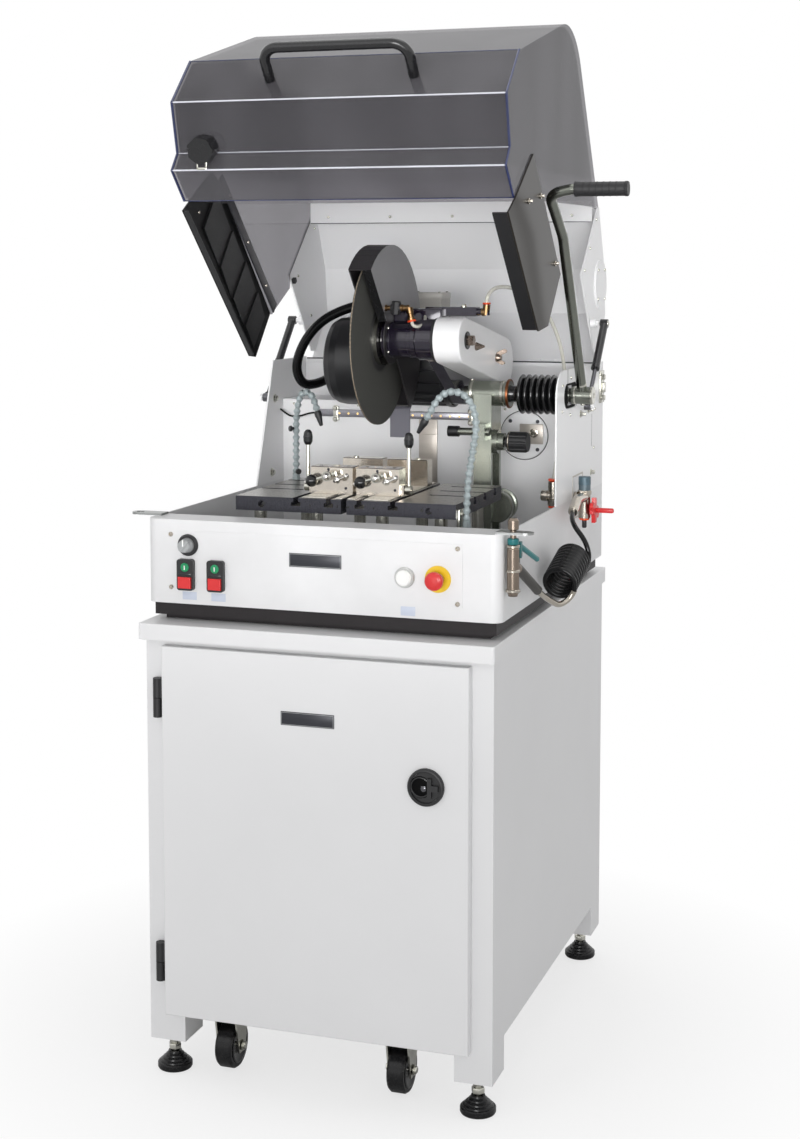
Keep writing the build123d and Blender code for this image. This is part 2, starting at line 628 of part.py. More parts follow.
def motor():
    bell = MOTOR_X0 + 74
    body = lathe_x([(0, MOTOR_X0), (MOTOR_R - 16, MOTOR_X0), (MOTOR_R - 7, MOTOR_X0 + 5), (MOTOR_R - 1, MOTOR_X0 + 16),
                    (MOTOR_R + 1, MOTOR_X0 + 30), (MOTOR_R + 1, bell), (MOTOR_R - 5, bell + 2), (MOTOR_R - 5, 60),
                    (MOTOR_R - 14, 64), (MOTOR_R - 14, 82), (MOTOR_R - 18, PLATE_X0), (22, PLATE_X0), (22, 80), (0, 80)],
                   MOTOR_Y, MOTOR_Z)
    for i in range(20):
        a = 2 * pi * (i + 0.5) / 20
        fin = Pos(0, MOTOR_Y, MOTOR_Z) * Rot(a * 180 / pi, 0, 0) * block(bell + 6, 56, MOTOR_R - 8, MOTOR_R, -1.2, 1.2)
        body += fin
    box = block(-28, 42, MOTOR_Y - 30, MOTOR_Y + 30, MOTOR_Z + MOTOR_R - 16, 1335)
    box = fillet(box.edges().filter_by(Axis.Z), 4)
    return body + box


def guard_sector(r, a0, a1):
    steps = 24
    rim = [(SPIN_Y + r * cos(a0 + (a1 - a0) * i / steps), SPIN_Z + r * sin(a0 + (a1 - a0) * i / steps))
           for i in range(steps + 1)]
    return outline([(SPIN_Y, SPIN_Z)] + rim)


def wheel_guard():
    start = -52 * pi / 180
    end = GUARD_OPEN * pi / 180
    shell = face_x(guard_sector(GUARD_R, start, end), -GUARD_LEFT, GUARD_X)
    shell -= face_x(guard_sector(GUARD_R - 2.5, start - 0.2, end + 0.2), -GUARD_LEFT + 2.5, GUARD_X - 2.5)
    shell -= bar_x(SPIN_Y, SPIN_Z, 74, -GUARD_LEFT - 1, 0)
    ring = bar_x(SPIN_Y, SPIN_Z, 44, GUARD_X - 2.5, GUARD_X)
    shell += ring
    shell -= bar_x(SPIN_Y, SPIN_Z, HOUSING_R, 0, GUARD_X + 1)
    flap_y = SPIN_Y + GUARD_R * cos(start) + 0.6
    flap_z = SPIN_Z + GUARD_R * sin(start) + 7.4
    flap = block(-GUARD_LEFT + 2, GUARD_X - 2, flap_y, flap_y + FLAP_T, flap_z - FLAP_H, flap_z)
    return shell + flap


def feed_lever():
    body = bar_x(PIVOT_Y, PIVOT_Z, SHAFT_R, PLATE_X0, 352)
    body += bar_x(PIVOT_Y, PIVOT_Z, 16, TUB_X + 2, 352)
    path = FilletPolyline((LEVER_TUBE_X, 90, 1161), (LEVER_TUBE_X, -66, 1438), (LEVER_TUBE_X, -165, 1508),
                          (372, -168, 1515), (384, -168, 1515), radius=[50, 26, 6])
    body += pipe(path, LEVER_TUBE_R)
    return body + bar_x(-168, 1515, 12, 378, 468)


def spindle():
    flange = WHEEL_T / 2
    return lathe_x([(0, -34), (9, -34), (9, -24), (18, -24), (18, -flange - 10), (46, -flange - 8), (46, -flange),
                    (SPINDLE_R, -flange), (SPINDLE_R, flange), (46, flange), (46, flange + 8), (22, flange + 9),
                    (SPINDLE_R, 11), (SPINDLE_R, PULLEY_X0), (SPIN_PULLEY_R, PULLEY_X0),
                    (SPIN_PULLEY_R, PULLEY_X1), (10, PULLEY_X1), (10, PULLEY_X1 + 6), (0, PULLEY_X1 + 6)], SPIN_Y, SPIN_Z)


def cutting_wheel():
    t = WHEEL_T / 2
    return lathe_x([(SPINDLE_R, -t), (WHEEL_R, -t), (WHEEL_R, t), (SPINDLE_R, t)], SPIN_Y, SPIN_Z)


def motor_pulley():
    return lathe_x([(0, 80.5), (12, 80.5), (12, PULLEY_X0), (MOTOR_PULLEY_R, PULLEY_X0), (MOTOR_PULLEY_R, PULLEY_X1),
                    (0, PULLEY_X1)], MOTOR_Y, MOTOR_Z)


def drive_belt():
    spin = (SPIN_Y, SPIN_Z)
    drum = (MOTOR_Y, MOTOR_Z)
    outer = two_circles(spin, SPIN_PULLEY_R + BELT_GAP + BELT_T, drum, MOTOR_PULLEY_R + BELT_GAP + BELT_T)
    inner = two_circles(spin, SPIN_PULLEY_R + BELT_GAP, drum, MOTOR_PULLEY_R + BELT_GAP)
    return face_x(outer - inner, PULLEY_X0 + 2, PULLEY_X1 - 2)


def shield_outline():
    corner = [(-250, HOOD_EDGE_Z), (-299, 1550), (-276, 1580), (-297, 1665), (-221, 1741), (160, 1838), (369, HOOD_EDGE_Z)]
    sheet = outline(corner)
    bend = sheet.vertices().sort_by(Axis.Y)[-1]
    return fillet(bend, 130)


def hood_shield():
    outer = face_x(shield_outline(), -HOOD_X, HOOD_X)
    inner = face_x(offset(shield_outline(), -HOOD_T), -HOOD_X + HOOD_T, HOOD_X - HOOD_T)
    mouth = block(-HOOD_X + HOOD_T, HOOD_X - HOOD_T, -240, 360, HOOD_EDGE_Z - 1, HOOD_EDGE_Z + HOOD_T + 1)
    shell = outer - inner - mouth
    edge = HOOD_EDGE_Z + HOOD_T - 1
    cover = [(-66, edge), (136, 1293), (138, 1296), (228, 1343), (228, 1369), (367, HOOD_EDGE_Z), (363, edge)]
    return shell + plate_x(cover, -HOOD_X, -HOOD_X + HOOD_T)


def hood_frame():
    x = HOOD_X
    low = HOOD_AXIS_Z + 17
    seam = HOOD_AXIS_Z + HOOD_SEAM
    rear = [(FRAME_REAR, 1290), (FRAME_REAR - 10, 1380), (376, HOOD_EDGE_Z)]
    front = [(373, HOOD_EDGE_Z), (FRAME_REAR - 13, 1379), (FRAME_REAR - 3, 1291.5)]
    back = plate_x([(360, seam), (364, seam)] + rear + front, -x, x)
    rim = x - HOOD_T - 1
    back += block(-rim, rim, 338, 374, HOOD_EDGE_Z - 3, HOOD_EDGE_Z)
    back += block(-rim, rim, 338, 341, HOOD_EDGE_Z - 28, HOOD_EDGE_Z + RIM_UP)
    cheek = [(350, low), (375, low)] + rear + [(368, HOOD_EDGE_Z), (229, 1368)]
    for sx in (-1, 1):
        back += plate_x(cheek, sx * x - (SHEET if sx > 0 else 0), sx * x + (SHEET if sx < 0 else 0))
        back += bar_x(SOCKET_Y, SOCKET_Z, 9, sx * (x - 1), sx * (x + 10))
        back += bar_x(SOCKET_Y, SOCKET_Z, 5, sx * (x - 1), sx * (SPRING_X - 9.5))
    back += bar_x(FRAME_REAR - 56, 1350, 48, x - 1, x + 4)
    for hx in HOOD_HINGE_X:
        back -= block(hx - 13, hx + 13, 356, 372, seam - 1, HOOD_AXIS_Z + 12)
        for a, b in ((-35, -13), (13, 35)):
            knuckle = bar_x(HOOD_AXIS_Y, HOOD_AXIS_Z, 6, hx + a, hx + b)
            knuckle += block(hx + a, hx + b, 362, 368, HOOD_AXIS_Z, HOOD_AXIS_Z + 9)
            knuckle -= bar_x(HOOD_AXIS_Y, HOOD_AXIS_Z, PIN_R + RUN_FIT, hx + a - 1, hx + b + 1)
            back += knuckle
    return back


def side_skirts():
    right = [(-142, 1576), (-100, 1534), (54, 1373), (-34, 1283), (-100, 1276), (-299, 1475), (-255, 1499)]
    left = [(-133, 1556), (-99, 1542), (138, 1295), (65, 1214), (37, 1217), (-250, 1483)]
    return [plate_x(left, -HOOD_X - SHEET, -HOOD_X), plate_x(right, HOOD_X, HOOD_X + SHEET)]


def hood_fittings():
    foot = Vector(0, -262, 1700)
    rise = Vector(0, -38, 50)
    path = FilletPolyline(foot + Vector(-128, 0, 0), foot + rise + Vector(-128, 0, 0), foot + rise + Vector(128, 0, 0),
                          foot + Vector(128, 0, 0), radius=28)
    handle = pipe(path, HANDLE_R)
    sheet = face_x(shield_outline(), -HOOD_X, HOOD_X)
    block_at = Pos(-239, -283, 1588) * Rot(15, 0, 0)
    lock = block_at * extrude(Plane.XZ * RegularPolygon(24, 7), 26, both=True)
    return [handle - sheet, lock - sheet]


def spring_line():
    d = Vector(0, SOCKET_Y - ANCHOR_Y, SOCKET_Z - ANCHOR_Z)
    return d.normalized(), d.length


def gas_rod(sx):
    d = spring_line()[0]
    at = Vector(sx * SPRING_X, ANCHOR_Y, ANCHOR_Z)
    body = bar_x(ANCHOR_Y, ANCHOR_Z, 8.5, sx * SPRING_X - 6, sx * SPRING_X + 6)
    body += strut(tuple(at + d * 5), tuple(at + d * ROD_LEN), SPRING_ROD_R)
    return body - bar_x(ANCHOR_Y, ANCHOR_Z, 4 + RUN_FIT, sx * SPRING_X - 7, sx * SPRING_X + 7)


def gas_cylinder(sx):
    d, length = spring_line()
    at = Vector(sx * SPRING_X, ANCHOR_Y, ANCHOR_Z)
    body = strut(tuple(at + d * (length - CYLINDER_LEN)), tuple(at + d * (length - 4)), SPRING_R)
    body += bar_x(SOCKET_Y, SOCKET_Z, 8.5, sx * SPRING_X - 7, sx * SPRING_X + 7)
    hole = strut(tuple(at + d * (length - CYLINDER_LEN - 1)), tuple(at + d * (length - 11)), SPRING_ROD_R + SPRING_FIT)
    return body - hole


def jointed_hose(points, segments):
    path = FilletPolyline(*points, radius=bend_radii(points))
    rings = []
    for i in range(segments):
        for part, r in ((0.0, COOLANT_R - 2.2), (0.12, COOLANT_R), (0.6, COOLANT_R), (0.85, COOLANT_R - 2.2)):
            rings.append(((i + part) / segments, r))
    rings.append((1.0, COOLANT_R - 3))
    outer = loft([Plane(origin=path @ t, z_dir=path % t) * Circle(r) for t, r in rings], ruled=True)
    inner = loft([Plane(origin=path @ t, z_dir=path % t) * Circle(COOLANT_BORE) for t, r in rings], ruled=True)
    return outer - inner


def coolant_hoses():
    left = [(*HOSE_SEAT, TABLE_Z1 - SEAT_DEPTH), (*HOSE_SEAT, 1060), (-187, -4, 1118), (-173, -14, 1156),
            (-150, -22, 1153), (-137, -27, 1125), (-128, -30, 1098)]
    right = [(213, -238, 948), (213, -238, 1020), (223, -236, 1080), (229, -231, 1132), (212, -226, 1170),
             (182, -222, 1180), (158, -219, 1168), (140, -217, 1138), (121, -215, 1108)]
    bracket = block(TABLE_X, 224, -250, -226, 942, 948) + block(TABLE_X, TABLE_X + 4, -250, -226, 942, TABLE_Z0 + 16)
    return [jointed_hose(left, 14), jointed_hose(right, 19), bracket]


def water_valve():
    body = bar_x(125, 960, 10, TUB_X, 331)
    body += bar_z(331, 125, 11, 925, 990)
    path = FilletPolyline((331, 124, 964), (331, 66, 966), tuple(Vector(*VALVE_END) - VALVE_WAY * 6), radius=40)
    body += pipe(path, 6)
    body += strut(tuple(Vector(*VALVE_END) - VALVE_WAY * 16), VALVE_END, 8)
    return body - bar_x(125, 940, 3 + RUN_FIT, 332, 345)


def valve_handle():
    body = bar_x(125, 940, 3, 333, 350)
    wing = Pos(0, 125, 940) * Rot(-25, 0, 0) * block(346, 353, -19, 19, -6, 6)
    tips = Pos(0, 125, 940) * Rot(-25, 0, 0) * (bar_x(-19, 0, 8, 346, 353) + bar_x(19, 0, 8, 346, 353))
    return body + wing + tips


def coil_at(t):
    axis = COIL_FRONT - COIL_BACK
    side = Vector(1, 0, 0)
    up = side.cross(axis).normalized()
    if up.Z < 0:
        up = up * -1
    turn = -2 * pi * (COIL_TURNS + 0.06) * t
    centre = COIL_BACK + axis * t
    point = centre + side * (COIL_R * cos(turn)) + up * (COIL_R * sin(turn))
    rate = -2 * pi * (COIL_TURNS + 0.06)
    heading = axis + side * (-COIL_R * sin(turn) * rate) + up * (COIL_R * cos(turn) * rate)
    return point, heading.normalized()


def hose_coil():
    quarters = int(4 * COIL_TURNS)
    edges = []
    for i in range(quarters):
        p0, t0 = coil_at(i / quarters)
        p1, t1 = coil_at((i + 1) / quarters)
        edges += biarc(p0, t0, p1, t1)
    return pipe(Wire([e for part in edges for e in part.edges()]), HOSE_R)


def spray_hose():
    p1, t1 = coil_at(0)
    points = [VALVE_END, tuple(Vector(*VALVE_END) + VALVE_WAY * 20), (350, -36, 932), (370, -45, 912),
              tuple(p1 - t1 * 14), tuple(p1)]
    return pipe(FilletPolyline(*points, radius=bend_radii(points)), HOSE_R)


def spray_gun():
    body = lathe([(0, 862), (7, 862), (10, 868), (10, 938), (6, 946), (5, 946), (5, 968), (9, 970), (9, 984), (6, 988),
                  (0, 988)])
    body = Pos(GUN_X, GUN_Y + 16, 0) * body
    grip_end = Vector(337, -240, 852)
    body += strut((GUN_X, GUN_Y + 18, 915), tuple(grip_end), 8)
    body += block(GUN_X - 4, GUN_X + 4, -352, TRIGGER_Y + 6, 900, TRIGGER_Z + 5)
    body += bar_x(TRIGGER_Y, TRIGGER_Z, 2.5, GUN_X - 8, GUN_X + 8)
    p0, t0 = coil_at(1)
    away = grip_end - Vector(GUN_X, GUN_Y + 18, 915)
    tail = biarc(p0, t0, grip_end, away * -1)
    return body + pipe(Wire([e for part in tail for e in part.edges()]), 5)


def gun_trigger():
    y = TRIGGER_Y
    body = strut((GUN_X, y, 944), (338, -250, 906), 4.5)
    for side in (-1, 1):
        ear = bar_x(y, TRIGGER_Z, 6, GUN_X + side * 4.5, GUN_X + side * 8)
        ear += block(GUN_X + side * 4.5, GUN_X + side * 8, y - 5, y + 5, TRIGGER_Z, 946)
        body += ear - bar_x(y, TRIGGER_Z, 2.5 + RUN_FIT, GUN_X + side * 4, GUN_X + side * 9)
    return body + block(GUN_X - 8, GUN_X + 8, y - 5, y + 5, 939, 947)


def flexible_lines():
    cable = [(-28, 195, 1308), (-70, 195, 1308), (-118, 195, 1314), (-168, 195, 1302), (-216, 196, 1278),
             (-252, 198, 1238), (-272, 202, 1188), (-262, 214, 1152), (-240, 240, 1152), (-222, 280, 1166),
             (-213, 318, 1172), (-213, 355, 1172)]
    tube = [(188, -34, 1322), (188, -34, 1338), (204, -6, 1354), (238, 62, 1340), (260, 116, 1304), (274, 158, 1250),
            (280, 178, 1190), (281, 172, 1124), (284, 128, 1060), (288, 88, 1014), (290, 72, 990)]
    tee = bar_z(290, 72, 9, 952, 990) + bar_x(72, 970, 8, 290, TUB_X - SHEET)
    return [pipe(routed(cable), 9.5), pipe(routed(tube), 3.5), tee]


def pieces():
    made = {
        "cabinet_frame": cabinet_frame(),
        "cabinet_top": cabinet_top(),
        "levelling_feet": levelling_feet(),
        "caster_brackets": caster_brackets(),
        "door_hinge_posts": door_hinge_posts(),
        "door": door(),
        "door_fittings": door_fittings(),
        "latch_paddle": latch_paddle(),
        "machine_base": machine_base(),
        "tub": tub(),
        "chamber_walls": chamber_walls(),
        "switch_bezels": switch_bezels(),
        "rotary_knob": rotary_knob(),
        "white_button": white_button(),
        "emergency_stop": emergency_stop(),
        "table_halves": [table_half(-1), table_half(1)],
        "table_posts": table_posts(),
        "pivot_stand": pivot_stand(),
        "stop_knob": stop_knob(),
        "bellows": bellows(),
        "rear_jaw": rear_jaw(),
        "arm_casting": arm_casting(),
        "belt_cover": belt_cover(),
        "motor": motor(),
        "wheel_guard": wheel_guard(),
        "feed_lever": feed_lever(),
        "spindle": spindle(),
        "cutting_wheel": cutting_wheel(),
        "motor_pulley": motor_pulley(),
        "drive_belt": drive_belt(),
        "hood_shield": hood_shield(),
        "hood_frame": hood_frame(),
        "side_skirts": side_skirts(),
        "hood_fittings": hood_fittings(),
        "coolant_hoses": coolant_hoses(),
        "water_valve": water_valve(),
        "valve_handle": valve_handle(),
        "spray_hose": spray_hose(),
        "hose_coil": hose_coil(),
        "spray_gun": spray_gun(),
        "gun_trigger": gun_trigger(),
        "flexible_lines": flexible_lines(),
    }
    for i, x in enumerate(CASTER_X):
        for j, y in enumerate(CASTER_Y):
            made["caster_wheel_" + ("left", "right")[i] + ("_front", "_rear")[j]] = caster_wheel(x, y)
    for i, side in enumerate(("left", "right")):
        made["green_button_" + side] = green_button(TWIN_X[i])
        made["red_button_" + side] = red_button(TWIN_X[i])
        made["jaw_" + side] = jaw(i)
        made["cam_lever_" + side] = cam_lever(i)
        made["crank_" + side] = crank(i)
        made["gas_rod_" + side] = gas_rod((-1, 1)[i])
        made["gas_cylinder_" + side] = gas_cylinder((-1, 1)[i])
    return made


os.makedirs("parts", exist_ok=True)
for name, shape in pieces().items():
    solids = shape if isinstance(shape, list) else [shape]
    bodies = [s for part in solids for s in part.solids()]
    whole = bodies[0] if len(bodies) == 1 else Compound(children=bodies)
    whole.label = name
    export_step(whole, "parts/" + name + ".step")
    print(name, len(bodies), round(whole.volume), [round(v) for v in (*whole.bounding_box().min, *whole.bounding_box().max)])
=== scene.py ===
import bmesh
import bpy
import math
from mathutils import Matrix, Vector


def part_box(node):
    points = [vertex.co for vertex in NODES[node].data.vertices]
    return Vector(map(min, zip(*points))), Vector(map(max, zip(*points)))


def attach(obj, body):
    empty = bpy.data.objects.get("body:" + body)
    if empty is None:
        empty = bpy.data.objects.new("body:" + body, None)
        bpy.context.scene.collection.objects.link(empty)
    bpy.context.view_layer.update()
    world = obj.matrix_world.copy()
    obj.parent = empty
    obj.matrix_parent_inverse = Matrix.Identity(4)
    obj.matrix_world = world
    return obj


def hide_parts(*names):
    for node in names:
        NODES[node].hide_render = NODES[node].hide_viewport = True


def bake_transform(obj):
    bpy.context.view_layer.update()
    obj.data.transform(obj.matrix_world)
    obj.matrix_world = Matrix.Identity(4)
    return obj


bl_info = {
    "name": "Cut-off saw dressing",
    "version": (1, 0, 0),
    "blender": (4, 5, 0),
    "location": "View3D > Sidebar > Saw",
    "description": "Finishes, hoses, fittings and fasteners of an abrasive cut-off saw",
    "category": "Object",
}

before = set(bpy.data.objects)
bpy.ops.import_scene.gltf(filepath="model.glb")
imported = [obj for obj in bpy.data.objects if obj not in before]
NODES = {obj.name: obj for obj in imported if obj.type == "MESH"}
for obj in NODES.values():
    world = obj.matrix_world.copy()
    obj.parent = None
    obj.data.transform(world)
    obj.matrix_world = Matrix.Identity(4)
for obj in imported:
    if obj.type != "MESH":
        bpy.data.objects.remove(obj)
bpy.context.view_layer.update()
FINISH = {}

LEFT, RIGHT = (-1, 0, 0), (1, 0, 0)
FRONT, REAR = (0, -1, 0), (0, 1, 0)
DOWN, UP = (0, 0, -1), (0, 0, 1)
SIDES = (("left", -1), ("right", 1))

# Places in millimetres: Y and Z of the axes that run along X
SPINDLE = (-70, 1257)
PIVOT = (95, 1153)
MOTOR = (195, 1203)
GRIP = (-168, 1515)
# ... X and Y of the upright axes
TEE = (285, 72)
VALVE = (331, 125)
GUN = (326, -356)
# ... centres, faces and the ends of the gas springs
COVER = (188, 230, 1064)
LATCH = (190.5, -417, 553)
WALL_X, WALL_Y = 312, 230
SPRING_X, SPRING_BASE, SPRING_TOP = 323, Vector((0, 180, 1128)), Vector((0, 316, 1276))
SHEET_X, STRIP_X, AXLE_Z = 295, -289.4, 43

# Routes of cable, tubes and hoses in millimetres
CABLE = [(-28, 195, 1308), (-70, 195, 1308), (-118, 195, 1314), (-168, 195, 1302), (-216, 196, 1278),
         (-252, 198, 1238), (-272, 202, 1188), (-262, 214, 1152), (-240, 240, 1152), (-222, 280, 1166),
         (-213, 318, 1172), (-213, 355, 1172)]
WATER = [(188, -34, 1322), (188, -34, 1338), (204, -6, 1354), (238, 62, 1340), (260, 116, 1304),
         (274, 158, 1250), (280, 178, 1190), (281, 172, 1124), (282, 128, 1060), (284, 88, 1016), (*TEE, 994)]
COOLANT_LEFT = [(-190, 2, 988), (-190, 2, 1060), (-187, -4, 1118), (-173, -14, 1156), (-150, -22, 1153),
                (-137, -27, 1125), (-128, -30, 1098)]
COOLANT_RIGHT = [(213, -238, 948), (213, -238, 1020), (223, -236, 1080), (229, -231, 1132), (212, -226, 1170),
                 (182, -222, 1180), (158, -219, 1168), (140, -217, 1138), (121, -215, 1108)]
LAMP_WIRE = [(-233, 226, 1097), (-250, 225, 1096), (-268, 221, 1089), (-287, 218, 1088), (-300, 216, 1096),
             (-309, 215, 1103)]
FEED_LINK = [(72, -105, 1291), (73, -105, 1284), (80, -102, 1281), (88, -86, 1284), (84, -62, 1297),
             (78, -51, 1304)]
ELBOW = [(331, 120, 964), (331, 90, 965.2), (331, 64, 965.6), (333.6, 40, 958.8), (336, 15.7, 951.9)]
COIL_BACK, COIL_FRONT = Vector((352, -46, 878)), Vector((352, -150, 848))
COIL_R, COIL_TURNS, COIL_STEPS = 27, 9.06, 144
HOSE_EXIT, HOSE_WAY = Vector((336.6, 10, 950.3)), Vector((5, -50, -14))

# Profiles and outlines in millimetres, but BEAD in shares of bead radius and pitch, NOSE with radii in shares
BEAD_STEP = 12.6
BEAD = [(0.5, 0), (0.62, 0), (0.66, 0.08), (0.82, 0.22), (0.97, 0.4), (1.0, 0.46), (1.0, 0.6), (0.95, 0.66),
        (0.84, 0.7), (0.72, 0.78), (0.63, 0.9), (0.6, 1.04)]
NOSE = [(0, -28), (0.9, -28), (1.02, -26), (1.02, -19), (0.9, -17), (0.5, -1), (0.42, 0), (0.26, 0),
        (0.24, -8), (0, -8)]
PAD = [(0, 0), (25, 0), (28.5, 1.5), (30, 4), (30, 11), (28.6, 12.6), (26, 13.4), (25.4, 15.6), (21.4, 17.8),
       (20.8, 20.2), (16.6, 22.6), (16, 25), (12.4, 28), (11.6, 31), (8, 31), (8, 27), (0, 27)]
GLAND = [(10, -0.5), (15, -0.5), (15, 8), (13, 10), (13, 16), (10.5, 20), (9.7, 20)]
CLAMP_PIN = [(0, 29), (2.6, 29), (3.4, 28), (3.6, 25), (6, 23), (6.2, 21), (3.6, 19), (3.2, 17), (3.2, 4),
             (4.6, 3), (5.4, -1)]
HANDLE_CROSS = [(119, 963), (131, 963), (133, 949), (147, 945), (147, 935), (133, 931), (131, 917),
                (119, 917), (117, 931), (103, 935), (103, 945), (117, 949)]
HOOD_EDGE = [(-250, 1500), (-299, 1550), (-276, 1580), (-297, 1665), (-221, 1741)]
SLAT_HIGH = [(-117, 1520), (-48, 1451), (12, 1395), (68, 1337), (108, 1289)]
SLAT_LOW = [(-173, 1454), (-103, 1386), (-48, 1327), (7, 1275), (54, 1232)]

# Lamps and camera in metres and degrees; a lamp has place, aim, size, power and spread
LAMPS = {"key": ((-2.0, -3.6, 3.0), (0, 0, 1.0), (2.4, 2.4), 8, 180),
         "fill": ((3.4, -2.0, 2.4), (0, 0, 1.1), (2.0, 2.4), 5, 180),
         "chamber": ((0.72, -1.5, 1.2), (-0.02, 0.3, 1.3), (1.3, 0.6), 1.7, 44),
         "top": ((0.2, 0.4, 4.2), (0, 0, 1.0), (2.4, 2.0), 19, 180)}
SUN_AT, SUN_AIM, SUN_POWER, SUN_ANGLE = (0.3, -4.0, 0.95), (0, 0, 1.15), 1.65, 26
SURROUND_LIGHT, FLOOR_GLOW, FLOOR_FADE = 0.55, 0.7, (0.42, 0.95)
CAMERA_AT, CAMERA_TILT, CAMERA_TURN, CAMERA_SHIFT = (1.0986, -3.2075, 1.3998), 84.96, 18.67, -0.1284

# Sockets of the Mix node when it mixes colours
MIX_SHARE, MIX_BELOW, MIX_OVER, MIX_RESULT = 0, 6, 7, 2
# Height of fine grain in metres
FINE_BUMP = 0.0002


def linear(code):
    out = []
    for i in (0, 2, 4):
        c = int(code[i:i + 2], 16) / 255
        out.append(c / 12.92 if c <= 0.04045 else ((c + 0.055) / 1.055) ** 2.4)
    return tuple(out)


def colour(label, text, code):
    return bpy.props.FloatVectorProperty(name=label, description=text, subtype="COLOR", size=3,
                                         min=0.0, max=1.0, default=linear(code))


def length(label, text, size):
    return bpy.props.FloatProperty(name=label, description=text, unit="LENGTH", min=0.0, default=size)


class SawFinishes(bpy.types.PropertyGroup):
    enamel: colour("Enamel", "Powder coat of cabinet, tub, chamber and covers", "e6e6e7")
    plinth: colour("Plinth", "Paint of the base ring under the tub", "231f21")
    black: colour("Black plastic", "Hinges, switch housings, knobs and skirts", "1c1c1e")
    cast: colour("Cast arm", "Glossy paint of spindle housing and arm", "1d1826")
    guard: colour("Guard", "Satin paint of the wheel guard", "262426")
    zinc: colour("Zinc", "Plated levers, stand and fasteners", "c4c3ba")
    nickel: colour("Nickel", "Valve, spray gun and bright fittings", "bdb6ab")
    brass: colour("Brass", "Coolant fittings", "7a6144")
    table: colour("Table sides", "Blued sides of the slotted table", "35353c")
    strip: colour("Wear strips", "Stainless strips on the table", "e0dcd2")
    abrasive: colour("Wheel", "Bonded abrasive of the wheel", "3a3a37")
    tint: colour("Hood tint", "Smoked sheet of the hood", "78777b")
    hose: colour("Coolant hose", "Beads of the jointed hoses", "929c9e")
    red: colour("Red", "Stop buttons and valve handle", "d3282a")
    green: colour("Green", "Start buttons", "128a57")
    yellow: colour("Yellow", "Disc behind the emergency stop", "e6c21a")
    orange: colour("Orange", "Release rings of the push fittings", "e0491b")
    teal: colour("Teal", "Trigger of the spray gun", "15686a")


class SawSizes(bpy.types.PropertyGroup):
    screw: length("Screw head", "Radius of the small sheet screws", 0.0032)
    cable: length("Motor cable", "Radius of the motor cable", 0.0095)
    tube: length("Water tube", "Radius of the clear water tube", 0.0035)
    hose: length("Spray hose", "Radius of the spray hose", 0.0045)
    bead: length("Hose bead", "Radius of a coolant hose bead", 0.0065)
    camera: length("Camera lens", "Focal length in metres on a 36 mm tall frame", 0.05888)


